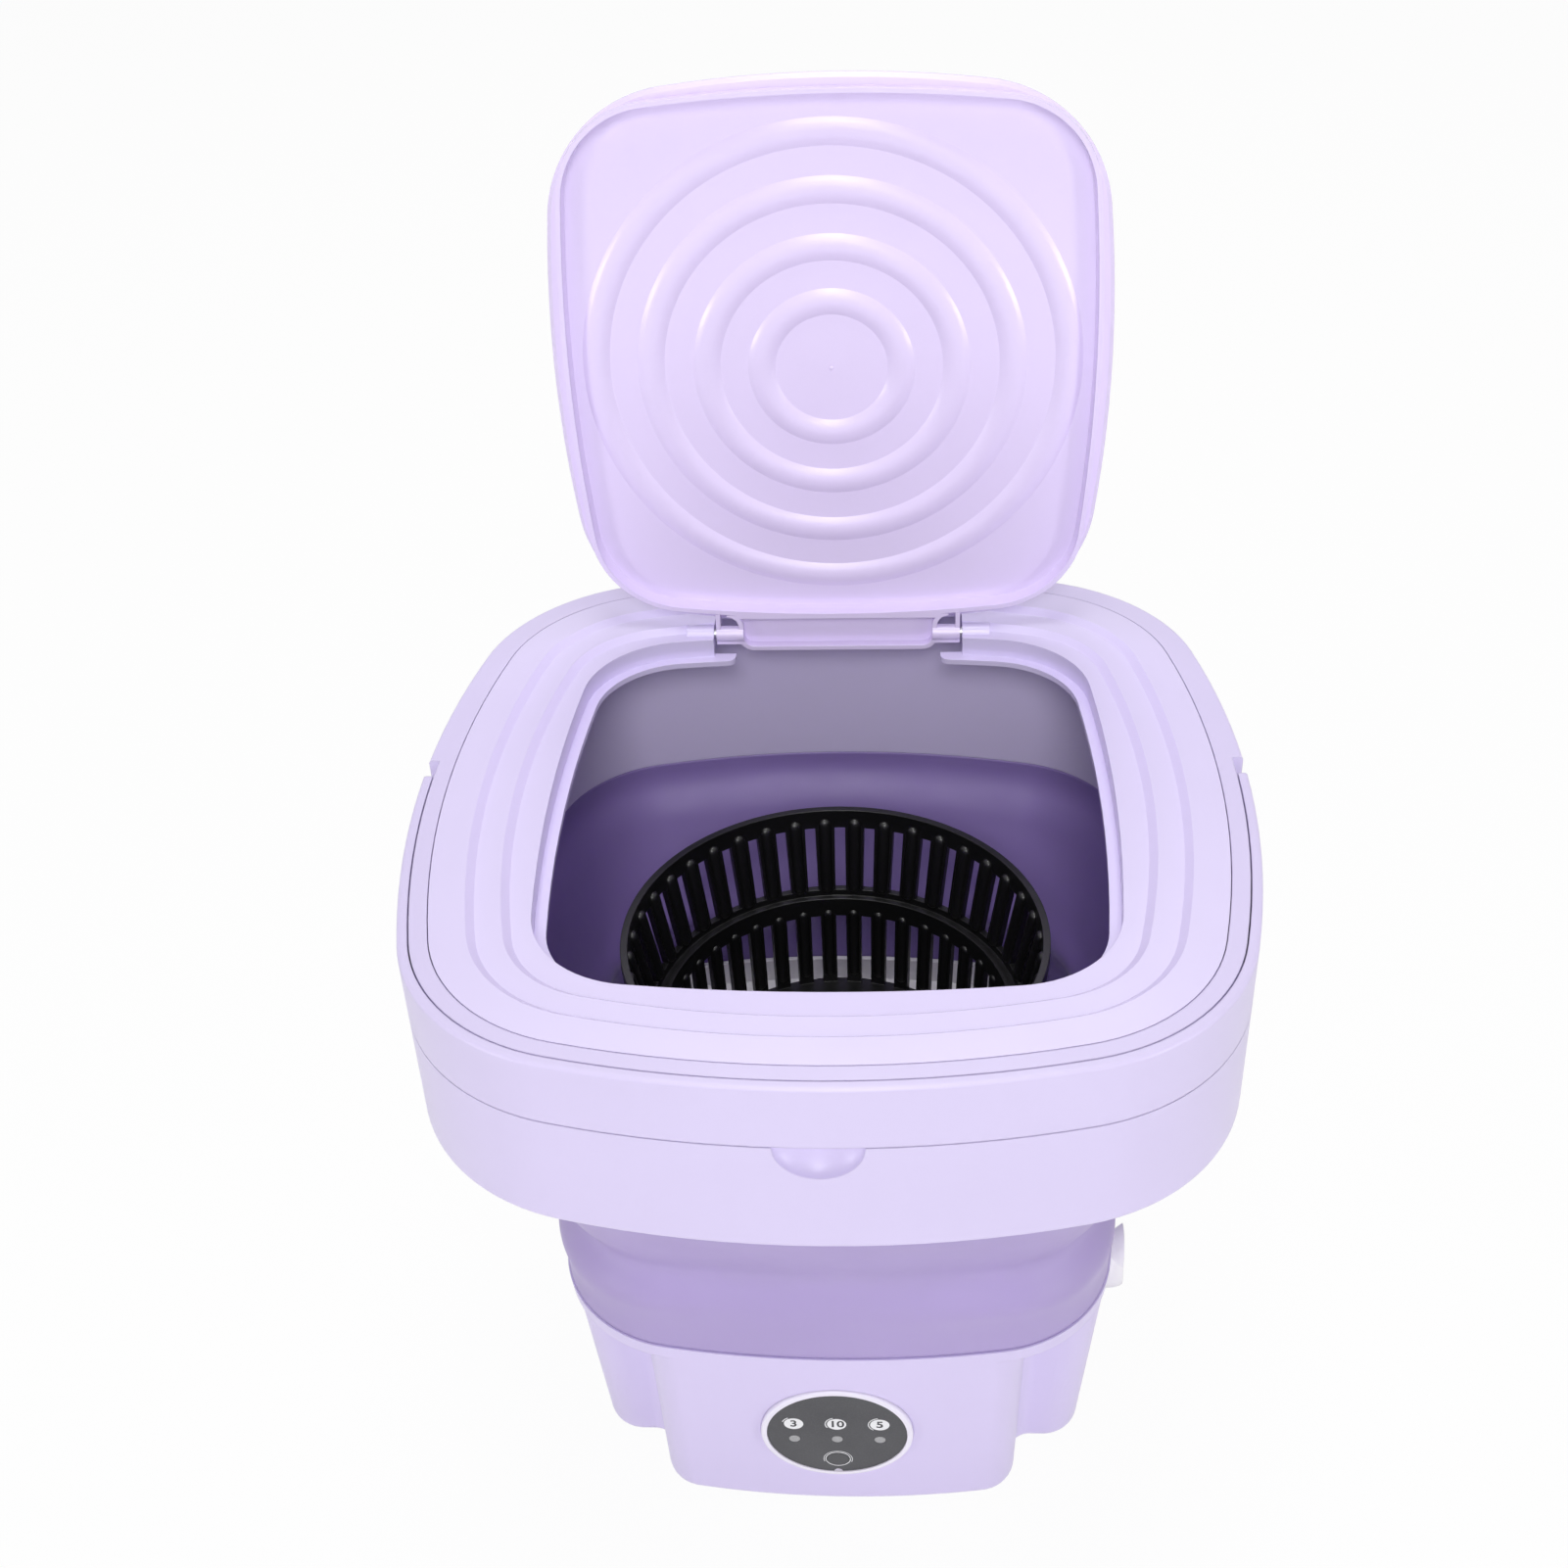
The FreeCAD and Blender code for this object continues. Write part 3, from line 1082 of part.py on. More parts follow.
def panel_bezel():
    recess_floor = -OVERLAY_SUNK
    bezel = rod(BEZEL_R, -BEZEL_SEAT, BEZEL_PROUD)
    bezel = bezel.makeFillet(min(BEZEL_EDGE_R, FILLET_SHARE * BEZEL_PROUD), flat_edges(bezel, BEZEL_PROUD))
    bezel = bezel.fuse(rod(SPIGOT_R, -BOARD_BACK, -BEZEL_SEAT))
    bezel = bezel.cut(rod(SPIGOT_R - SPIGOT_WALL, -BOARD_BACK, BEZEL_PROUD))
    bezel = bezel.cut(rod(PANEL_R + SEAM_GAP / 2, recess_floor, BEZEL_PROUD + CUT))
    return on_wall(bezel, PANEL_Z)


def panel_overlay():
    plate = rod(PANEL_R, -OVERLAY_SUNK, OVERLAY_THICK - OVERLAY_SUNK)
    plate = plate.cut(rod(BUTTON_R + SEAM_GAP, -CUT, OVERLAY_THICK, 0, -BUTTON_DOWN))
    plate = plate.cut(rod(PRY_NOTCH_R, -CUT, OVERLAY_THICK, 0, -PANEL_R))
    for x, y in lamp_places():
        plate = plate.cut(rod(LAMP_R + SEAT_GAP / 2, -CUT, OVERLAY_THICK, x, y))
    return on_wall(plate, PANEL_Z)


def lamp_windows():
    top = OVERLAY_THICK - OVERLAY_SUNK
    low = -BOARD_BACK + LAMP_BODY + SEAT_GAP
    return Part.makeCompound([on_wall(rod(LAMP_R, low, top, x, y), PANEL_Z) for x, y in lamp_places()])


def status_lamps():
    low = -BOARD_BACK
    lamps = [rod(LAMP_BODY_R, low, low + LAMP_BODY, x, y) for x, y in lamp_places()]
    return Part.makeCompound([on_wall(lamp, PANEL_Z) for lamp in lamps])


def start_button():
    top = OVERLAY_THICK - OVERLAY_SUNK + BUTTON_PROUD
    under_overlay = -OVERLAY_SUNK - SEAT_GAP / 3
    button = rod(BUTTON_R, under_overlay - BUTTON_FLANGE, top, 0, -BUTTON_DOWN)
    button = button.makeFillet(BUTTON_PROUD, flat_edges(button, top))
    button = button.fuse(rod(BUTTON_FLANGE_R, under_overlay - BUTTON_FLANGE, under_overlay, 0, -BUTTON_DOWN))
    stem_end = -BOARD_BACK + SWITCH_HEIGHT + BUTTON_TRAVEL + SEAT_GAP / 3
    button = button.fuse(rod(BUTTON_STEM_R, stem_end, under_overlay - BUTTON_FLANGE, 0, -BUTTON_DOWN))
    return on_wall(button, PANEL_Z)


def push_switch():
    half = SWITCH_SIZE / 2
    low = -BOARD_BACK
    body = block(-half, half, -BUTTON_DOWN - half, -BUTTON_DOWN + half, low, low + SWITCH_HEIGHT - CUT)
    body = body.fuse(rod(BUTTON_STEM_R, low, low + SWITCH_HEIGHT, 0, -BUTTON_DOWN))
    return on_wall(body, PANEL_Z)


def control_board():
    return on_wall(rod(SPIGOT_R - CUT, -BOARD_BACK - BOARD_THICK, -BOARD_BACK), PANEL_Z)


def power_inlet():
    inlet = rod(INLET_FLANGE_R, 0, INLET_FLANGE).fuse(rod(INLET_R, -INLET_LENGTH, 0))
    inlet = inlet.cut(rod(INLET_BORE_R, INLET_FLANGE - INLET_BORE_DEPTH, INLET_FLANGE))
    inlet = inlet.fuse(rod(INLET_PIN_R, -INLET_BORE_DEPTH, 0))
    return on_wall(inlet, INLET_Z, back=True)


# Drain

SPOUT_X = reach_at(DRAIN_Z) + SPOUT_STANDOFF
PIPE_END_X = SPOUT_X + SPOUT_OVERLAP


def bent_pipe(radius, top_z, end_x):
    bend_x = DRAIN_X + DRAIN_BEND_R
    bend_z = DRAIN_Z + DRAIN_BEND_R
    half_turn = DRAIN_BEND_R * (1 - math.sqrt(0.5))
    down = Part.LineSegment(V(DRAIN_X, 0, top_z), V(DRAIN_X, 0, bend_z))
    bend_mid = V(DRAIN_X + half_turn, 0, DRAIN_Z + half_turn)
    bend = Part.Arc(V(DRAIN_X, 0, bend_z), bend_mid, V(bend_x, 0, DRAIN_Z))
    out = Part.LineSegment(V(bend_x, 0, DRAIN_Z), V(end_x, 0, DRAIN_Z))
    path = Part.Wire([down.toShape(), bend.toShape(), out.toShape()])
    section = Part.Wire([Part.makeCircle(radius, V(DRAIN_X, 0, top_z), Z_AXIS)])
    return path.makePipeShell([section], True, False)


def drain_pipe():
    flange_top = FLOOR_UNDER_Z - GASKET_THICK
    pipe = bent_pipe(DRAIN_PIPE_R, BASIN_FLOOR_Z, PIPE_END_X)
    pipe = pipe.fuse(rod(DRAIN_FLANGE_R, flange_top - DRAIN_FLANGE, flange_top, DRAIN_X))
    return pipe.cut(bent_pipe(DRAIN_BORE_R, BASIN_FLOOR_Z, PIPE_END_X))


def drain_gasket():
    return tube(DRAIN_FLANGE_R, DRAIN_PIPE_R, FLOOR_UNDER_Z - GASKET_THICK, FLOOR_UNDER_Z, DRAIN_X)


def drain_spout():
    elbow_x = SPOUT_X + SPOUT_HUB
    elbow = V(elbow_x, 0, DRAIN_Z)
    angle = math.radians(SPOUT_ANGLE)
    way = V(math.cos(angle), 0, math.sin(angle))
    reach = 2 * SPOUT_OUT
    spout = cross_rod(SPOUT_HUB_R, SPOUT_X, elbow_x, 0, DRAIN_Z)
    nozzle = Part.makeCylinder(SPOUT_TUBE_R, reach, elbow, way)
    spout = spout.fuse([Part.makeSphere(SPOUT_HUB_R, elbow), nozzle])
    spout = spout.common(block(SPOUT_X, SPOUT_X + SPOUT_OUT, -reach, reach, 0, BASE_HEIGHT))
    spout = spout.cut(cross_rod(DRAIN_PIPE_R + RUN_GAP, SPOUT_X - CUT, PIPE_END_X + SEAT_GAP, 0, DRAIN_Z))
    spout = spout.cut(cross_rod(SPOUT_BORE_R, SPOUT_X, elbow_x, 0, DRAIN_Z))
    spout = spout.cut(Part.makeSphere(SPOUT_BORE_R, elbow))
    return spout.cut(Part.makeCylinder(SPOUT_BORE_R, reach, elbow, way))


PIECES = [
    base_shell,
    bottom_cover,
    bottom_screws,
    rubber_feet,
    tub_liner,
    folding_wall,
    rim_shell,
    handle_pivot_pins,
    handle,
    top_cover,
    lid,
    lid_hinge_pins,
    drive_gear,
    motor_pinion,
    motor_shaft,
    motor_can,
    motor_screws,
    motor_bracket,
    bracket_screws,
    lower_bush,
    shaft_bearing,
    shaft_seal,
    shaft_clip,
    drive_shaft,
    pulsator,
    pulsator_screw,
    basket,
    panel_bezel,
    panel_overlay,
    lamp_windows,
    status_lamps,
    start_button,
    push_switch,
    control_board,
    power_inlet,
    drain_pipe,
    drain_gasket,
    drain_spout,
]

os.makedirs("parts", exist_ok=True)
for piece in PIECES:
    shape = piece()
    name = piece.__name__
    print(name, "solids", len(shape.Solids), "valid", shape.isValid(), "volume", round(shape.Volume, 1))
    shape.exportStep(os.path.join("parts", name + ".step"))
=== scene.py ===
import math
import bmesh
import bpy
from mathutils import Matrix, Vector

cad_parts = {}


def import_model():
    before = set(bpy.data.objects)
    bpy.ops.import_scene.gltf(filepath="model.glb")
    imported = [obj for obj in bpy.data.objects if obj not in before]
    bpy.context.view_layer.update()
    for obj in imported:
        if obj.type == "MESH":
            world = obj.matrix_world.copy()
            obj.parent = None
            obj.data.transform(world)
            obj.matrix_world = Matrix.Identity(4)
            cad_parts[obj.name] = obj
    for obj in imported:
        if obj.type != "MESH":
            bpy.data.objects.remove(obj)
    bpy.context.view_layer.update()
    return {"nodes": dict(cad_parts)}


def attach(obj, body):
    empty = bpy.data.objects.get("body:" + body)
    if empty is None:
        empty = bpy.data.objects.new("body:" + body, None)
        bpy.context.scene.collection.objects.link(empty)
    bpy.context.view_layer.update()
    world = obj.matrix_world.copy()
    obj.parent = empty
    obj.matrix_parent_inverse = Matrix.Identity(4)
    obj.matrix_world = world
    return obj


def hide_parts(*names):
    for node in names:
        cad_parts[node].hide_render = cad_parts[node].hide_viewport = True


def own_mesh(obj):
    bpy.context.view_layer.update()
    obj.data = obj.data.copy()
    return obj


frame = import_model()
nodes = frame["nodes"]
scene = bpy.context.scene
MM = 0.001
# Points closer together than this, in metres, are joined
SAME_POINT = 1e-6


# Materials: noise scales are in waves per metre, reliefs in metres

# Most of a noise's values lie between these
NOISE_LOW = 0.3
NOISE_HIGH = 0.7
BEVEL_SAMPLES = 6
# Sockets of a mix node that blends colours
MIX_FIRST = 6
MIX_SECOND = 7
MIX_RESULT = 2


def rgb(red, green, blue):
    """Linear colour from the 0 to 255 values that a picture shows, by the sRGB curve."""
    linear = []
    for value in (red, green, blue):
        share = value / 255
        linear.append(share / 12.92 if share <= 0.04045 else ((share + 0.055) / 1.055) ** 2.4)
    return (*linear, 1.0)


def scaled(colour, factor):
    return (*[min(1.0, channel * factor) for channel in colour[:3]], 1.0)


class Shader:
    """One node material, built up step by step around a Principled shader."""

    def __init__(self, name):
        self.material = bpy.data.materials.new(name)
        self.material.use_nodes = True
        self.tree = self.material.node_tree
        self.bsdf = self.tree.nodes["Principled BSDF"]
        self.place = self.add("ShaderNodeTexCoord").outputs["Object"]

    def add(self, kind, **settings):
        node = self.tree.nodes.new(kind)
        for key, value in settings.items():
            setattr(node, key, value)
        return node

    def link(self, source, target):
        self.tree.links.new(source, target)

    def noise(self, scale, detail=3.0, roughness=0.5, stretch=None):
        node = self.add("ShaderNodeTexNoise")
        node.inputs["Scale"].default_value = scale
        node.inputs["Detail"].default_value = detail
        node.inputs["Roughness"].default_value = roughness
        place = self.place
        if stretch:
            mapping = self.add("ShaderNodeMapping")
            mapping.inputs["Scale"].default_value = stretch
            self.link(place, mapping.inputs["Vector"])
            place = mapping.outputs["Vector"]
        self.link(place, node.inputs["Vector"])
        return node.outputs["Fac"]

    def ramp(self, factor, first, last, start=NOISE_LOW, end=NOISE_HIGH):
        """Colour that goes from first to last as the factor goes from start to end."""
        node = self.add("ShaderNodeValToRGB")
        stops = zip(node.color_ramp.elements, ((start, first), (end, last)))
        for element, (position, colour) in stops:
            element.position = position
            element.color = colour
        self.link(factor, node.inputs["Fac"])
        return node.outputs["Color"]

    def span(self, factor, low, high, from_low=0.0, from_high=1.0):
        """Number that goes from low to high as the factor goes from from_low to from_high."""
        node = self.add("ShaderNodeMapRange")
        node.inputs["From Min"].default_value = from_low
        node.inputs["From Max"].default_value = from_high
        node.inputs["To Min"].default_value = low
        node.inputs["To Max"].default_value = high
        self.link(factor, node.inputs["Value"])
        return node.outputs["Result"]

    def colour(self, source):
        self.link(source, self.bsdf.inputs["Base Color"])

    def roughness(self, source):
        self.link(source, self.bsdf.inputs["Roughness"])

    def relief(self, heights, edge=0.0):
        """Stacks bumps given as (height, depth), over edges rounded by the edge radius."""
        normal = None
        if edge:
            bevel = self.add("ShaderNodeBevel", samples=BEVEL_SAMPLES)
            bevel.inputs["Radius"].default_value = edge
            normal = bevel.outputs["Normal"]
        for height, depth in heights:
            bump = self.add("ShaderNodeBump")
            bump.inputs["Distance"].default_value = depth
            self.link(height, bump.inputs["Height"])
            if normal:
                self.link(normal, bump.inputs["Normal"])
            normal = bump.outputs["Normal"]
        self.link(normal, self.bsdf.inputs["Normal"])

    def set(self, **values):
        for key, value in values.items():
            self.bsdf.inputs[key.replace("_", " ")].default_value = value


def moulded(name, colour, rough=0.38, edge=0.5 * MM, variation=0.012):
    """Moulded plastic: faint flow clouds in the colour, sink marks, fine grain and soft edges."""
    made = Shader(name)
    clouds = made.noise(scale=14.0, detail=4.0)
    dark, light = scaled(colour, 1 - variation), scaled(colour, 1 + variation)
    made.colour(made.ramp(clouds, dark, light))
    patches = made.noise(scale=35.0, detail=5.0, roughness=0.6)
    made.roughness(made.span(patches, rough - 0.02, rough + 0.03, NOISE_LOW, NOISE_HIGH))
    skin = made.noise(scale=2600.0, detail=2.0)
    sink = made.noise(scale=22.0, detail=1.0)
    made.relief([(sink, 0.00005), (skin, 0.00003)], edge)
    return made


LILAC = rgb(214, 203, 239)
LILAC_RIM = rgb(215, 205, 239)
LILAC_TOP = rgb(222, 212, 246)
LILAC_LID = rgb(232, 218, 253)
WALL_LILAC = rgb(172, 156, 204)
# Painted shade: darker violet given to the soft wall's inner face in place of the shade inside the
# tub
WALL_INSIDE_SHADE = rgb(144, 124, 186)
BEZEL_WHITE = rgb(236, 231, 245)
WHITE = rgb(238, 236, 240)
BLACK = rgb(15, 15, 16)
NYLON = rgb(222, 218, 205)
BUTTON_GREY = rgb(62, 62, 66)

lilac_shell = moulded("lilac_shell", LILAC, rough=0.34)
lilac_rim = moulded("lilac_rim", LILAC_RIM, rough=0.34, edge=0.8 * MM)
lilac_top = moulded("lilac_top", LILAC_TOP, rough=0.24, edge=0.3 * MM)
lilac_lid = moulded("lilac_lid", LILAC_LID, rough=0.24, edge=0.3 * MM)
bezel_plastic = moulded("bezel_plastic", BEZEL_WHITE, rough=0.24, edge=0.3 * MM)
white_plastic = moulded("white_plastic", WHITE, rough=0.40)
black_plastic = moulded("black_plastic", BLACK, rough=0.34, edge=0.6 * MM, variation=0.25)
nylon = moulded("nylon", NYLON, rough=0.5)
button_plastic = moulded("button_plastic", BUTTON_GREY, rough=0.42, edge=0.2 * MM)


# Name of the mark on the soft wall's mesh that is 1 on the inner face and 0 on the outer one; it
# places the painted shade of the inner face
INNER_FACE = "inner_face"


def soft_wall_material():
    """Satin elastomer with slow ripples and fine grain, with painted shade on its inner face: a
    darker violet there.
    """
    made = Shader("soft_wall")
    clouds = made.noise(scale=9.0, detail=5.0)
    # Mixes the outer colour with the painted shade of the inner face
    sides = made.add("ShaderNodeMix", data_type="RGBA")
    inner = made.add("ShaderNodeAttribute", attribute_name=INNER_FACE)
    made.link(inner.outputs["Fac"], sides.inputs["Factor"])
    for colour, socket in ((WALL_LILAC, MIX_FIRST), (WALL_INSIDE_SHADE, MIX_SECOND)):
        cloudy = made.ramp(clouds, scaled(colour, 0.97), scaled(colour, 1.03), start=0.25, end=0.75)
        made.link(cloudy, sides.inputs[socket])
    made.colour(sides.outputs[MIX_RESULT])
    patches = made.noise(scale=30.0, detail=6.0, roughness=0.65)
    made.roughness(made.span(patches, 0.40, 0.54, NOISE_LOW, NOISE_HIGH))
    ripple = made.noise(scale=16.0, detail=2.0, stretch=(1.0, 1.0, 2.2))
    skin = made.noise(scale=1900.0, detail=2.0)
    made.relief([(ripple, 0.0010), (skin, 0.00003)])
    made.set(
        Subsurface_Weight=0.12,
        Subsurface_Radius=(0.006, 0.004, 0.007),
        Subsurface_Scale=1.0,
    )
    return made


def rubber_material():
    made = Shader("rubber")
    dust = made.noise(scale=160.0, detail=6.0, roughness=0.7)
    made.colour(made.ramp(dust, rgb(30, 30, 31), rgb(58, 57, 58), start=0.35, end=0.75))
    made.roughness(made.span(dust, 0.62, 0.82))
    made.relief([(made.noise(scale=900.0), 0.00008)], edge=0.3 * MM)
    return made


def metal_material(name, colour, rough, stretch, scratch_scale=420.0):
    """Drawn, turned or sintered metal, with marks that the stretch draws out into lines."""
    made = Shader(name)
    lines = made.noise(scratch_scale, detail=4.0, roughness=0.7, stretch=stretch)
    made.colour(made.ramp(lines, scaled(colour, 0.82), scaled(colour, 1.1)))
    made.roughness(made.span(lines, rough - 0.08, rough + 0.1, NOISE_LOW, NOISE_HIGH))
    made.relief([(lines, 0.00004)], edge=0.2 * MM)
    made.set(Metallic=1.0)
    return made


def panel_face_material():
    """Dark film with a fine satin tooth and faint wipe marks."""
    made = Shader("panel_face")
    specks = made.noise(scale=1500.0, detail=3.0)
    made.colour(made.ramp(specks, rgb(58, 58, 63), rgb(69, 69, 74), start=0.45, end=0.8))
    wipes = made.noise(scale=60.0, detail=5.0, stretch=(1.0, 0.35, 1.0))
    made.roughness(made.span(wipes, 0.32, 0.46, NOISE_LOW, NOISE_HIGH))
    made.relief([(specks, 0.00002)], edge=0.2 * MM)
    return made


def print_material(name, colour):
    made = Shader(name)
    ink = made.noise(scale=2200.0, detail=2.0)
    made.colour(made.ramp(ink, scaled(colour, 0.93), colour))
    made.roughness(made.span(ink, 0.45, 0.6))
    made.relief([(ink, 0.00001)])
    return made


def lamp_window_material():
    made = Shader("lamp_window")
    frost = made.noise(scale=1800.0, detail=3.0)
    made.colour(made.ramp(frost, rgb(150, 150, 152), rgb(186, 186, 188), end=0.75))
    made.roughness(made.span(frost, 0.25, 0.4))
    made.relief([(frost, 0.00002)], edge=0.2 * MM)
    made.set(Transmission_Weight=0.15)
    return made


def board_material():
    made = Shader("board")
    weave = made.add("ShaderNodeTexBrick")
    weave.inputs["Scale"].default_value = 260.0
    weave.inputs["Color1"].default_value = rgb(22, 92, 48)
    weave.inputs["Color2"].default_value = rgb(26, 104, 54)
    weave.inputs["Mortar"].default_value = rgb(16, 74, 38)
    made.link(made.place, weave.inputs["Vector"])
    made.colour(weave.outputs["Color"])
    made.roughness(made.span(weave.outputs["Fac"], 0.35, 0.5))
    made.relief([(weave.outputs["Fac"], 0.00002)], edge=0.2 * MM)
    return made


ALONG_X = (0.05, 1.0, 1.0)
ALONG_Z = (1.0, 1.0, 0.05)
ALONG_Z_LONG = (1.0, 1.0, 0.04)
ALL_WAYS = (1.0, 1.0, 1.0)

soft_wall = soft_wall_material()
rubber = rubber_material()
steel = metal_material("steel", rgb(182, 182, 186), 0.30, ALONG_Z_LONG)
sheet_steel = metal_material("sheet_steel", rgb(176, 178, 182), 0.36, ALONG_X)
bronze = metal_material("sintered_bronze", rgb(176, 132, 74), 0.46, ALL_WAYS, scratch_scale=900.0)
motor_steel = metal_material("motor_steel", rgb(140, 141, 146), 0.34, ALONG_Z)
panel_face = panel_face_material()
white_print = print_material("white_print", rgb(238, 238, 240))
dark_print = print_material("dark_print", rgb(52, 52, 56))
lamp_window = lamp_window_material()
board = board_material()

LOOKS = {
    lilac_shell: ["base_shell", "bottom_cover"],
    bezel_plastic: ["panel_bezel"],
    lilac_rim: ["rim_shell", "handle"],
    lilac_top: ["top_cover"],
    lilac_lid: ["lid"],
    white_plastic: ["tub_liner", "pulsator", "drain_pipe", "drain_spout", "status_lamps"],
    black_plastic: ["basket", "power_inlet", "push_switch"],
    nylon: ["drive_gear"],
    button_plastic: ["start_button"],
    rubber: ["rubber_feet", "shaft_seal", "drain_gasket"],
    steel: [
        "bottom_screws",
        "handle_pivot_pins",
        "lid_hinge_pins",
        "motor_shaft",
        "motor_screws",
        "bracket_screws",
        "shaft_bearing",
        "shaft_clip",
        "drive_shaft",
        "pulsator_screw",
    ],
    sheet_steel: ["motor_bracket"],
    motor_steel: ["motor_can"],
    bronze: ["motor_pinion", "lower_bush"],
    panel_face: ["panel_overlay"],
    lamp_window: ["lamp_windows"],
    board: ["control_board"],
    soft_wall: ["folding_wall"],
}
# Edges that turn by more than this stay sharp
SHARP_ANGLE = math.radians(26)


def smoothing_group(angle):
    """Geometry nodes that shade a mesh smooth and keep edges over the angle sharp."""
    group = bpy.data.node_groups.new("smooth_under_angle", "GeometryNodeTree")
    for way in ("INPUT", "OUTPUT"):
        group.interface.new_socket("Geometry", in_out=way, socket_type="NodeSocketGeometry")
    start = group.nodes.new("NodeGroupInput")
    end = group.nodes.new("NodeGroupOutput")
    merge = group.nodes.new("GeometryNodeMergeByDistance")
    merge.inputs["Distance"].default_value = SAME_POINT
    faces = group.nodes.new("GeometryNodeSetShadeSmooth")
    faces.domain = "FACE"
    edges = group.nodes.new("GeometryNodeSetShadeSmooth")
    edges.domain = "EDGE"
    edge_angle = group.nodes.new("GeometryNodeInputMeshEdgeAngle")
    compare = group.nodes.new("FunctionNodeCompare")
    compare.operation = "LESS_THAN"
    compare.inputs["B"].default_value = angle
    chain = (start, merge, faces, edges, end)
    for source, target in zip(chain, chain[1:]):
        group.links.new(source.outputs["Geometry"], target.inputs["Geometry"])
    group.links.new(edge_angle.outputs["Unsigned Angle"], compare.inputs["A"])
    group.links.new(compare.outputs["Result"], edges.inputs["Shade Smooth"])
    return group


smooth = smoothing_group(SHARP_ANGLE)
for look, members in LOOKS.items():
    for name in members:
        node = nodes[name]
        node.data.materials.clear()
        node.data.materials.append(look.material)
        node.modifiers.new("smooth", "NODES").node_group = smooth
        weights = node.modifiers.new("weights", "WEIGHTED_NORMAL")
        weights.keep_sharp = True


def add_piece(name, mesh, look, body):
    piece = bpy.data.objects.new(name, mesh)
    scene.collection.objects.link(piece)
    piece.data.materials.append(look.material)
    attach(piece, body)
    return piece


def finished(name, built):
    """Mesh of that name from the faces built so far, with its normals outward."""
    bmesh.ops.recalc_face_normals(built, faces=built.faces)
    mesh = bpy.data.meshes.new(name)
    built.to_mesh(mesh)
    built.free()
    return mesh


# Soft folding wall, in millimetres

BASE_TOP = 109.8
WALL_TOP = 223.3
WALL_THICK = 2.5
ARC_STEPS = 26
WALL_ROWS = 76
# Half width, half depth, corner radius and bow of the sides
BASE_PLAN = (118.8, 118.8, 55.0, 4.6)
RIM_PLAN = (161.5, 168.0, 80.0, 8.7)
# Height of each fold, the plan that it follows and how far its outer face stands inside that plan
FOLDS = [
    (BASE_TOP, BASE_PLAN, 0.8),
    (137.8, BASE_PLAN, 0.2),
    (155.8, BASE_PLAN, 2.8),
    (203.5, RIM_PLAN, 30.5),
    (213.5, RIM_PLAN, 22.5),
    (WALL_TOP, RIM_PLAN, 22.5),
]
# Height over which each fold is rounded, above and below it, and the samples on each side
FOLD_EASE = 5.0
EASE_STEPS = 3
# Depth, height and half height of the pinch in each corner, and of the swell under it
PINCH = (4.6, 149.8, 8.5)
SWELL = (-1.8, 133.8, 8.0)
# How the corners differ: share, turns round the wall and phase
CORNER_WAVES = ((0.25, 1, 0.7), (0.2, 3, 1.9))
# Slow waves of the whole wall: depth, turns round the wall, phase, and height per radian of lean
WALL_WAVES = ((0.6, 5, 0.9, 40.0), (0.4, 9, 2.3, 17.0))
WAVES_TOP = 202.0
# Soft dents, inward where the depth is positive:
# turn in degrees, height, half width in degrees, half height, depth
DENTS = (
    (-124, 141, 11, 7, -1.7),
    (-105, 147, 12, 9, 1.3),
    (-84, 152, 13, 13, 1.0),
    (-62, 137, 14, 7, -1.5),
    (-70, 148, 10, 8, 1.1),
    (-18, 143, 12, 9, -1.3),
    (14, 150, 14, 10, 1.2),
    (48, 139, 12, 7, -1.6),
    (82, 149, 16, 11, 1.2),
    (121, 140, 12, 8, -1.5),
    (163, 147, 14, 10, 1.3),
    (-160, 139, 12, 8, -1.4),
)


def arc_points(centre_x, centre_y, radius, start, end, count):
    """The first count points of an arc cut into ARC_STEPS steps."""
    turns = [start + (end - start) * k / ARC_STEPS for k in range(count)]
    return [(centre_x + radius * math.cos(t), centre_y + radius * math.sin(t)) for t in turns]


def plan_points(plan, inset):
    """Points round a plan of eight tangent arcs, drawn in by inset."""
    half_x, half_y, corner_r, bulge = plan
    centre = Vector((half_x - corner_r - bulge, half_y - corner_r - bulge))
    to_corner = corner_r + bulge
    side_r = (to_corner**2 + centre.y**2 - corner_r**2) / (2 * bulge)
    end_r = (to_corner**2 + centre.x**2 - corner_r**2) / (2 * bulge)
    side_turn = math.atan2(centre.y, centre.x - half_x + side_r)
    end_turn = math.atan2(centre.y - half_y + end_r, centre.x)
    side = arc_points(half_x - side_r, 0, side_r - inset, 0, side_turn, ARC_STEPS)
    corner = arc_points(centre.x, centre.y, corner_r - inset, side_turn, end_turn, ARC_STEPS)
    end = arc_points(0, half_y - end_r, end_r - inset, end_turn, math.pi / 2, ARC_STEPS + 1)
    quarter = side + corner + end
    half = quarter + [(-x, y) for x, y in reversed(quarter[:-1])]
    return [Vector(point) for point in half + [(-x, -y) for x, y in half[1:-1]]]


def straight_loop(loops, z):
    """The wall's points at z, on straight lines between the folds."""
    z = min(max(z, BASE_TOP), WALL_TOP)
    for k in range(len(FOLDS) - 1):
        low, high = FOLDS[k][0], FOLDS[k + 1][0]
        if z <= high:
            share = (z - low) / (high - low)
            return [a.lerp(b, share) for a, b in zip(loops[k], loops[k + 1])]
    return loops[-1]


def eased_loop(loops, z):
    """The wall's points at z, with the folds rounded."""
    reach = min(FOLD_EASE, z - BASE_TOP, WALL_TOP - z)
    steps = range(-EASE_STEPS, EASE_STEPS + 1)
    samples = [straight_loop(loops, z + reach * k / EASE_STEPS) for k in steps]
    return [sum(points, Vector((0, 0))) / len(points) for points in zip(*samples)]


def bell(z, height, half_height):
    return math.exp(-(((z - height) / half_height) ** 2))


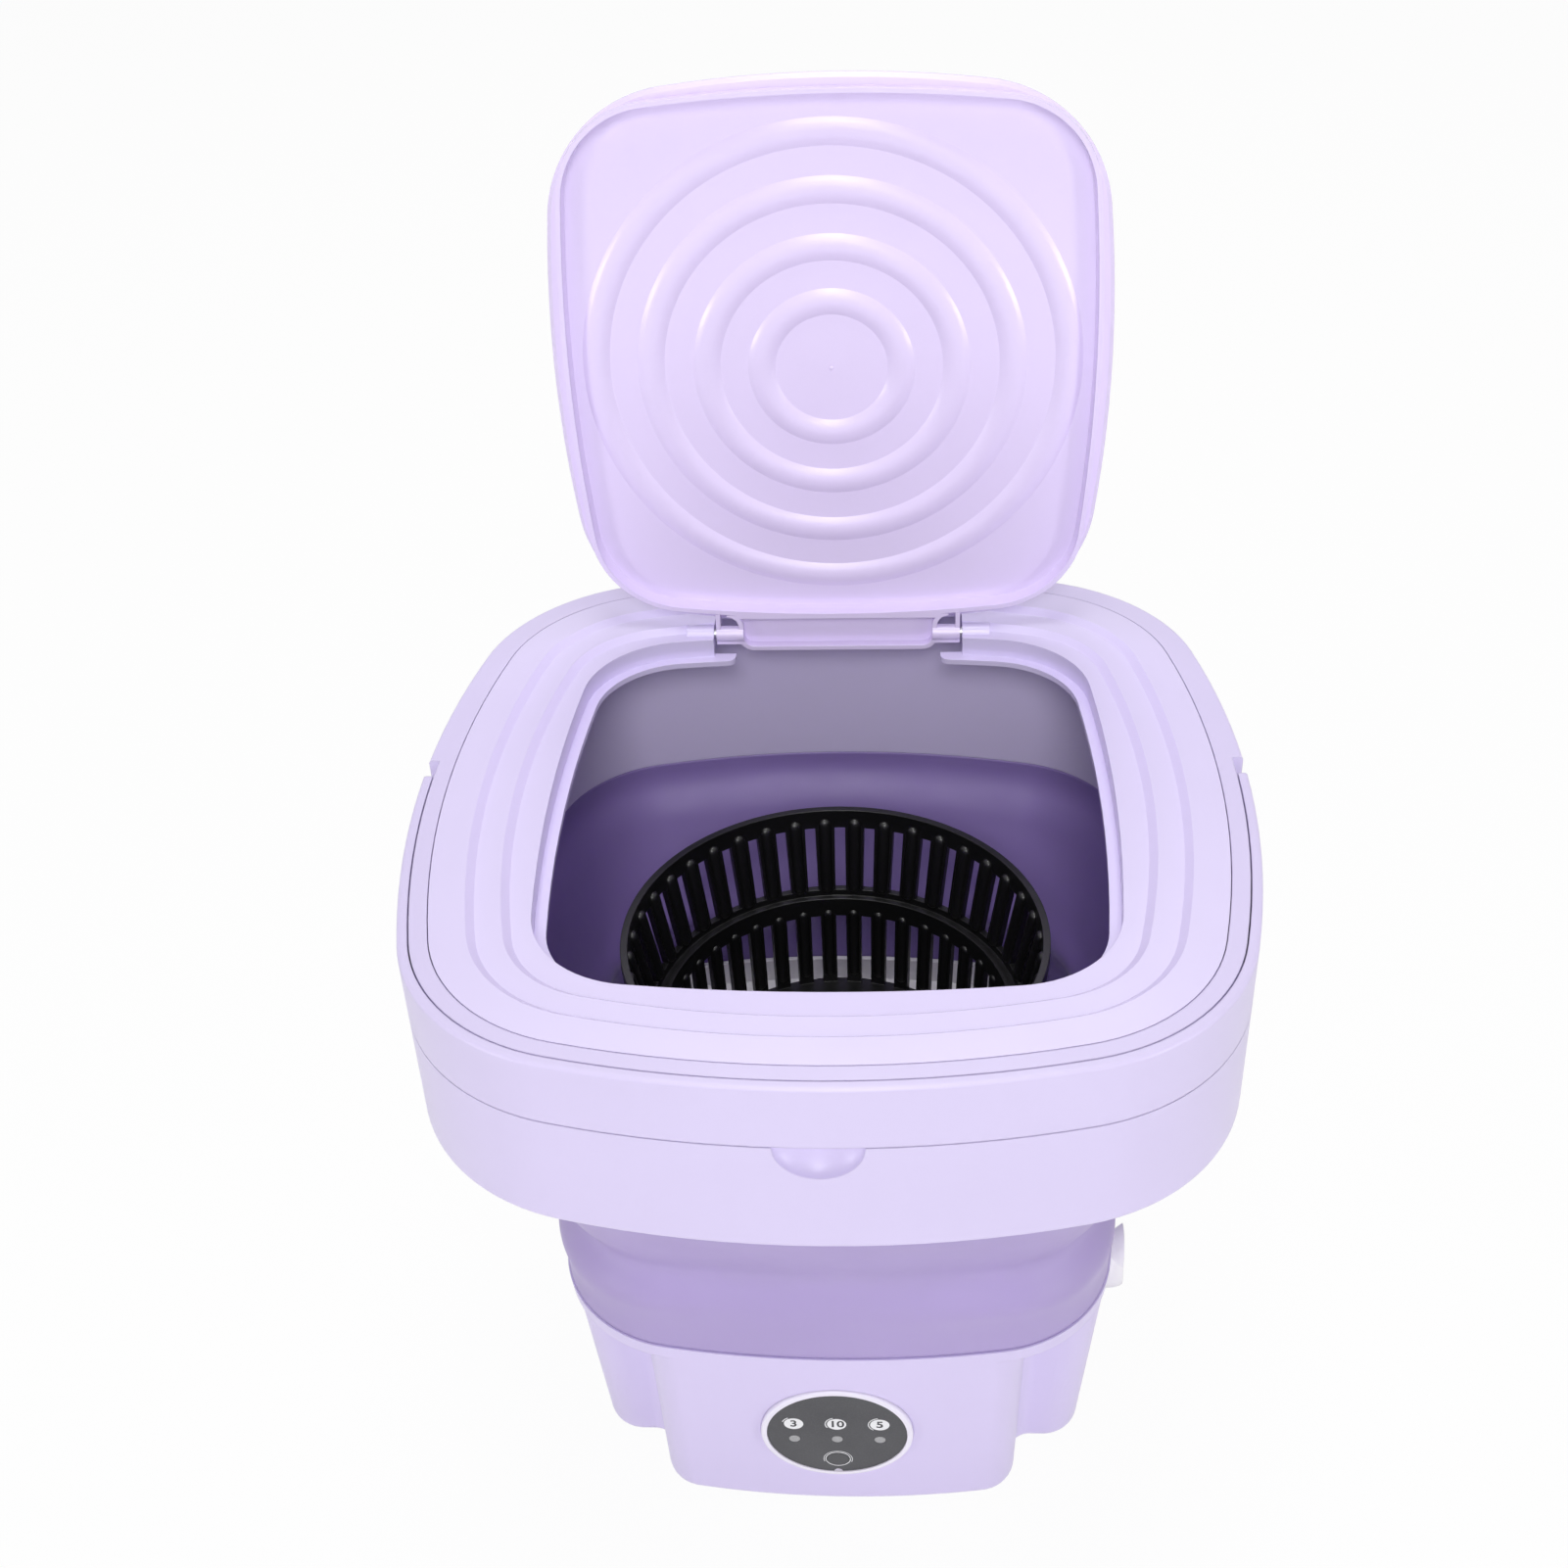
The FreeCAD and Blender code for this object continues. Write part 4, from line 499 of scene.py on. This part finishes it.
def slack(x, y, z):
    """Inward sag of the soft wall: pinched corners, a swell under them, slow waves and dents."""
    turn = math.atan2(y, x)
    corner = math.sin(2 * turn) ** 2
    uneven = 1.0 + sum(share * math.sin(n * turn + phase) for share, n, phase in CORNER_WAVES)
    pinch = PINCH[0] * corner * uneven * bell(z, *PINCH[1:])
    swell = SWELL[0] * corner**2 * bell(z, *SWELL[1:])
    # The waves die out at the base and at the turn under the rim
    rise = min(1.0, max(0.0, (z - BASE_TOP) / (WAVES_TOP - BASE_TOP)))
    free = math.sin(math.pi * rise) ** 2
    waves = sum(d * math.sin(n * turn + phase + z / lean) for d, n, phase, lean in WALL_WAVES)
    sag = pinch + swell + waves * free
    for centre, height, half_turn, half_height, depth in DENTS:
        away = math.remainder(turn - math.radians(centre), 2 * math.pi)
        across = away / math.radians(half_turn)
        sag += depth * math.exp(-(across**2)) * bell(z, height, half_height)
    return sag


def wall_loop(built, loops, z, mark):
    ring = []
    for point in eased_loop(loops, z):
        share = MM * (1 - slack(point.x, point.y, z) / point.length)
        vertex = built.verts.new((point.x * share, point.y * share, z * MM))
        vertex[built.verts.layers.float[INNER_FACE]] = mark
        ring.append(vertex)
    return ring


def folding_wall_mesh():
    built = bmesh.new()
    built.verts.layers.float.new(INNER_FACE)
    rise = (WALL_TOP - BASE_TOP) / WALL_ROWS
    heights = [BASE_TOP + rise * k for k in range(WALL_ROWS)] + [WALL_TOP]
    outer = [plan_points(plan, inset) for _, plan, inset in FOLDS]
    inner = [plan_points(plan, inset + WALL_THICK) for _, plan, inset in FOLDS]
    rings = [wall_loop(built, outer, z, 0.0) for z in heights]
    rings += [wall_loop(built, inner, z, 1.0) for z in reversed(heights)]
    for low, high in zip(rings, rings[1:] + rings[:1]):
        count = len(low)
        for k in range(count):
            after = (k + 1) % count
            face = built.faces.new((low[k], low[after], high[after], high[k]))
            face.smooth = True
    return finished("soft_wall", built)


wall = add_piece("soft_wall", folding_wall_mesh(), soft_wall, "base")
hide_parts("folding_wall")
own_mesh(wall)


# Control panel print in millimetres, laid on the overlay square to the sloping wall

PANEL_Z = 57.0
FOOT_REACH = 108.4
BASE_FLARE = BASE_PLAN[0] - FOOT_REACH
PANEL_TILT = math.atan2(BASE_FLARE, BASE_TOP)
PANEL_REACH = FOOT_REACH + BASE_FLARE * PANEL_Z / BASE_TOP
# Height of the overlay's face over the wall
OVERLAY_FACE = 0.6
PRINT_THICK = 0.06
PRINT_TOP = OVERLAY_FACE + PRINT_THICK
DISC_UP = 7.4
DISC_R = 4.0
DISC_SPREAD = 17.8
# Place across the panel, number, and the start and sweep of the thin arc round it, in degrees
DISCS = (
    (-DISC_SPREAD, "3", 118.0, 45.0),
    (0.0, "10", 108.0, 105.0),
    (DISC_SPREAD, "5", 100.0, 135.0),
)
# Inner and outer radius of each printed ring or arc
DISC_ARC = (DISC_R + 0.55, DISC_R + 0.95)
BUTTON_RING = (5.0, 5.35)
BUTTON_ARC = (5.9, 6.15)
BUTTON_DOWN = 19.4
BUTTON_ARC_START = -20.0
BUTTON_ARC_SWEEP = 220.0
CIRCLE_STEPS = 48
DISC_ARC_STEPS = 20
BUTTON_ARC_STEPS = 30
NUMBER_SIZE = 6.4
NUMBER_SWELL = 0.12
ON_PANEL = (
    Matrix.Translation((0, -PANEL_REACH * MM, PANEL_Z * MM))
    @ Matrix.Rotation(math.pi / 2 + PANEL_TILT, 4, "X")
    @ Matrix.Scale(MM, 4)
)


def printed_ring(built, x, y, radii, start=0.0, sweep=360.0, steps=CIRCLE_STEPS):
    """Adds a flat printed ring, or an arc of one."""
    inner, outer = radii
    closed = sweep >= 360.0
    count = steps if closed else steps + 1
    section = (
        (inner, OVERLAY_FACE),
        (outer, OVERLAY_FACE),
        (outer, PRINT_TOP),
        (inner, PRINT_TOP),
    )
    rows = []
    for k in range(count):
        angle = math.radians(start + sweep * k / steps)
        c, s = math.cos(angle), math.sin(angle)
        rows.append([built.verts.new((x + r * c, y + r * s, z)) for r, z in section])
    pairs = zip(rows, rows[1:] + rows[:1]) if closed else zip(rows, rows[1:])
    for a, b in pairs:
        for k in range(4):
            built.faces.new((a[k], b[k], b[(k + 1) % 4], a[(k + 1) % 4]))
    if not closed:
        built.faces.new(rows[0])
        built.faces.new(list(reversed(rows[-1])))


def panel_print_mesh():
    """The number discs with their arcs, and the rings round the button."""
    built = bmesh.new()
    for x, _, start, sweep in DISCS:
        disc = bmesh.ops.create_cone(
            built,
            cap_ends=True,
            segments=CIRCLE_STEPS,
            radius1=DISC_R,
            radius2=DISC_R,
            depth=PRINT_THICK,
        )
        centre = (x, DISC_UP, OVERLAY_FACE + PRINT_THICK / 2)
        bmesh.ops.translate(built, verts=disc["verts"], vec=centre)
        printed_ring(built, x, DISC_UP, DISC_ARC, start, sweep, DISC_ARC_STEPS)
    printed_ring(built, 0.0, -BUTTON_DOWN, BUTTON_RING)
    printed_ring(
        built, 0.0, -BUTTON_DOWN, BUTTON_ARC, BUTTON_ARC_START, BUTTON_ARC_SWEEP, BUTTON_ARC_STEPS
    )
    mesh = finished("panel_print", built)
    mesh.transform(ON_PANEL)
    return mesh


def number_mesh(number, x):
    """The outline of a number, laid on its disc."""
    text = bpy.data.curves.new("number_" + number, "FONT")
    text.body = number
    text.size = NUMBER_SIZE
    text.align_x = "CENTER"
    text.align_y = "CENTER"
    text.extrude = PRINT_THICK / 2
    text.offset = NUMBER_SWELL
    holder = bpy.data.objects.new("number_" + number, text)
    scene.collection.objects.link(holder)
    bpy.context.view_layer.update()
    shown = holder.evaluated_get(bpy.context.evaluated_depsgraph_get())
    outline = bpy.data.meshes.new_from_object(shown)
    bpy.data.objects.remove(holder)
    outline.transform(Matrix.Translation((x, DISC_UP, PRINT_TOP + PRINT_THICK / 2)))
    outline.transform(ON_PANEL)
    return outline


add_piece("panel_print", panel_print_mesh(), white_print, "base")
for place, number, _, _ in DISCS:
    add_piece("number_" + number, number_mesh(number, place), dark_print, "base")


# Moulded detail in millimetres: a round bead along each basket rib, and the gate nub inside the lid

BASKET_RIBS = 40
# Lower and upper end as (radius of the wall's inner face, height), then width and depth
RIB_TIERS = (
    ((78.2, 190.6), (85.0, 226.9), 5.8, 1.9),
    ((70.5, 147.5), (72.7, 184.6), 5.0, 1.7),
)
RIB_ROWS = 20
RIB_SIDES = 8
# How far each bead's back is sunk in the basket's wall
RIB_SINK = 0.3
GATE_NUB_PLACE = (0.0, 127.5, 423.6)
GATE_NUB_HALF = (0.9, 0.5, 0.9)
GATE_NUB_STEPS = 3


def rib_bead(built, turn, low, high, width, depth):
    """A half-round bead with domed ends, laid up the inner face of the basket."""
    foot = Vector((low[0], 0, low[1]))
    run = Vector((high[0], 0, high[1])) - foot
    inward = Vector((-run.z, 0, run.x)).normalized()
    cap = width / 2
    rows = []
    for k in range(RIB_ROWS + 1):
        # Rows crowd towards the domed ends
        along = run.length * (1 - math.cos(math.pi * k / RIB_ROWS)) / 2
        to_end = min(along, run.length - along)
        share = math.sqrt(1 - max(0.0, 1 - to_end / cap) ** 2)
        middle = foot + run * (along / run.length)
        row = []
        for j in range(RIB_SIDES + 1):
            angle = math.pi * j / RIB_SIDES
            side = Vector((0, cap * share * math.cos(angle), 0))
            rise = inward * (depth * share * math.sin(angle) - RIB_SINK)
            row.append(built.verts.new(turn @ ((middle + side + rise) * MM)))
        rows.append(row)
    for a, b in zip(rows, rows[1:]):
        for j in range(RIB_SIDES):
            face = built.faces.new((a[j], a[j + 1], b[j + 1], b[j]))
            face.smooth = True


def basket_ribs_mesh():
    built = bmesh.new()
    for k in range(BASKET_RIBS):
        turn = Matrix.Rotation(2 * math.pi * (k + 0.5) / BASKET_RIBS, 3, "Z")
        for low, high, width, depth in RIB_TIERS:
            rib_bead(built, turn, low, high, width, depth)
    bmesh.ops.remove_doubles(built, verts=built.verts, dist=SAME_POINT)
    return finished("basket_ribs", built)


def gate_nub_mesh():
    built = bmesh.new()
    place = Matrix.Translation(Vector(GATE_NUB_PLACE) * MM)
    size = Matrix.Diagonal((*[half * MM for half in GATE_NUB_HALF], 1.0))
    bmesh.ops.create_icosphere(built, subdivisions=GATE_NUB_STEPS, radius=1.0, matrix=place @ size)
    for face in built.faces:
        face.smooth = True
    return finished("gate_nub", built)


add_piece("basket_ribs", basket_ribs_mesh(), black_plastic, "basket")
add_piece("gate_nub", gate_nub_mesh(), lilac_lid, "lid")


# Floor, light and camera, in metres

WHITE_LIGHT = (1, 1, 1, 1)
FLOOR_DARK = (0.80, 0.80, 0.80, 1)
FLOOR_LIGHT = (0.84, 0.84, 0.84, 1)
FLOOR_ROUGH = 0.8
FLOOR_HALF = 6.0
# How far the floor that is seen goes from its own shading to plain white
PAPER_SHARE = 0.95
# Strength of the world on the object, and where it is seen
WORLD_ON_OBJECT = 0.22
WORLD_SEEN = 1.0
# Name, place, aim, width and power in watts of each round softbox
SOFTBOXES = (
    ("main", (0.0, -2.74, 2.58), (0, 0, 0.28), 1.3, 41),
    ("front", (0.1, -3.0, 1.35), (0, 0, 0.28), 1.2, 14),
    ("top", (0.0, -0.1, 2.7), (0, 0, 0.3), 1.0, 19),
    ("back", (0.0, 1.5, 2.6), (0, -0.03, 0.3), 1.6, 18),
    ("left", (-1.7, -1.1, 0.35), (0, 0, 0.3), 0.4, 7),
    ("right", (1.7, -1.1, 0.35), (0, 0, 0.3), 0.4, 8),
)
# Focal length and pose fitted to the outlines of rim, base and lid; sensor and lens in millimetres
SENSOR_WIDTH = 36.0
LENS = 45.41
CLIP_START = 0.05
CLIP_END = 50.0
CAMERA_PLACE = (0.02787, -0.62461, 0.75442)
CAMERA_DOWN = math.radians(35.54)
CAMERA_YAW = math.radians(-4.19)
CAMERA_ROLL = math.radians(-2.66)


def seen_directly(tree):
    """1 on rays from the camera, reflections and glass, 0 on the light that falls on the object."""
    rays = tree.nodes.new("ShaderNodeLightPath")
    total = rays.outputs["Is Camera Ray"]
    for kind in ("Is Glossy Ray", "Is Transmission Ray"):
        add = tree.nodes.new("ShaderNodeMath")
        add.operation = "ADD"
        add.use_clamp = True
        tree.links.new(total, add.inputs[0])
        tree.links.new(rays.outputs[kind], add.inputs[1])
        total = add.outputs["Value"]
    return total


def floor_material():
    """Reads as white paper in view, in reflections and through glass, and keeps a soft shadow."""
    made = Shader("floor")
    tone = made.noise(scale=3.0, detail=2.0)
    made.colour(made.ramp(tone, FLOOR_DARK, FLOOR_LIGHT))
    made.set(Roughness=FLOOR_ROUGH)
    share = made.add("ShaderNodeMath", operation="MULTIPLY")
    made.link(seen_directly(made.tree), share.inputs[0])
    share.inputs[1].default_value = PAPER_SHARE
    paper = made.add("ShaderNodeEmission")
    paper.inputs["Color"].default_value = WHITE_LIGHT
    mix = made.add("ShaderNodeMixShader")
    made.link(share.outputs["Value"], mix.inputs["Fac"])
    made.link(made.bsdf.outputs["BSDF"], mix.inputs[1])
    made.link(paper.outputs["Emission"], mix.inputs[2])
    made.link(mix.outputs["Shader"], made.tree.nodes["Material Output"].inputs["Surface"])
    return made


def floor():
    mesh = bpy.data.meshes.new("floor")
    half = FLOOR_HALF
    corners = [(-half, -half, 0), (half, -half, 0), (half, half, 0), (-half, half, 0)]
    mesh.from_pydata(corners, [], [(0, 1, 2, 3)])
    mesh.materials.append(floor_material().material)
    plane = bpy.data.objects.new("floor", mesh)
    scene.collection.objects.link(plane)


def world():
    made = bpy.data.worlds.new("studio")
    made.use_nodes = True
    tree = made.node_tree
    background = tree.nodes["Background"]
    background.inputs["Color"].default_value = WHITE_LIGHT
    strength = tree.nodes.new("ShaderNodeMapRange")
    strength.inputs["To Min"].default_value = WORLD_ON_OBJECT
    strength.inputs["To Max"].default_value = WORLD_SEEN
    tree.links.new(seen_directly(tree), strength.inputs["Value"])
    tree.links.new(strength.outputs["Result"], background.inputs["Strength"])
    scene.world = made


def softbox(name, place, aim, size, power):
    light = bpy.data.lights.new(name, "AREA")
    light.shape = "DISK"
    light.size = size
    light.energy = power
    lamp = bpy.data.objects.new(name, light)
    lamp.location = place
    lamp.rotation_euler = (Vector(aim) - Vector(place)).to_track_quat("-Z", "Y").to_euler()
    scene.collection.objects.link(lamp)


def camera():
    """The photograph's view."""
    data = bpy.data.cameras.new("camera")
    data.sensor_width = SENSOR_WIDTH
    data.lens = LENS
    data.clip_start = CLIP_START
    data.clip_end = CLIP_END
    ahead = Vector((math.sin(CAMERA_YAW), math.cos(CAMERA_YAW), 0))
    forward = ahead * math.cos(CAMERA_DOWN) - Vector((0, 0, math.sin(CAMERA_DOWN)))
    level = Vector((math.cos(CAMERA_YAW), -math.sin(CAMERA_YAW), 0))
    above = level.cross(forward)
    right = level * math.cos(CAMERA_ROLL) + above * math.sin(CAMERA_ROLL)
    up = above * math.cos(CAMERA_ROLL) - level * math.sin(CAMERA_ROLL)
    holder = bpy.data.objects.new("camera", data)
    turn = Matrix((right, up, -forward)).transposed().to_4x4()
    holder.matrix_world = Matrix.Translation(CAMERA_PLACE) @ turn
    scene.collection.objects.link(holder)
    scene.camera = holder


floor()
world()
for box in SOFTBOXES:
    softbox(*box)
camera()
scene.view_settings.view_transform = "Standard"
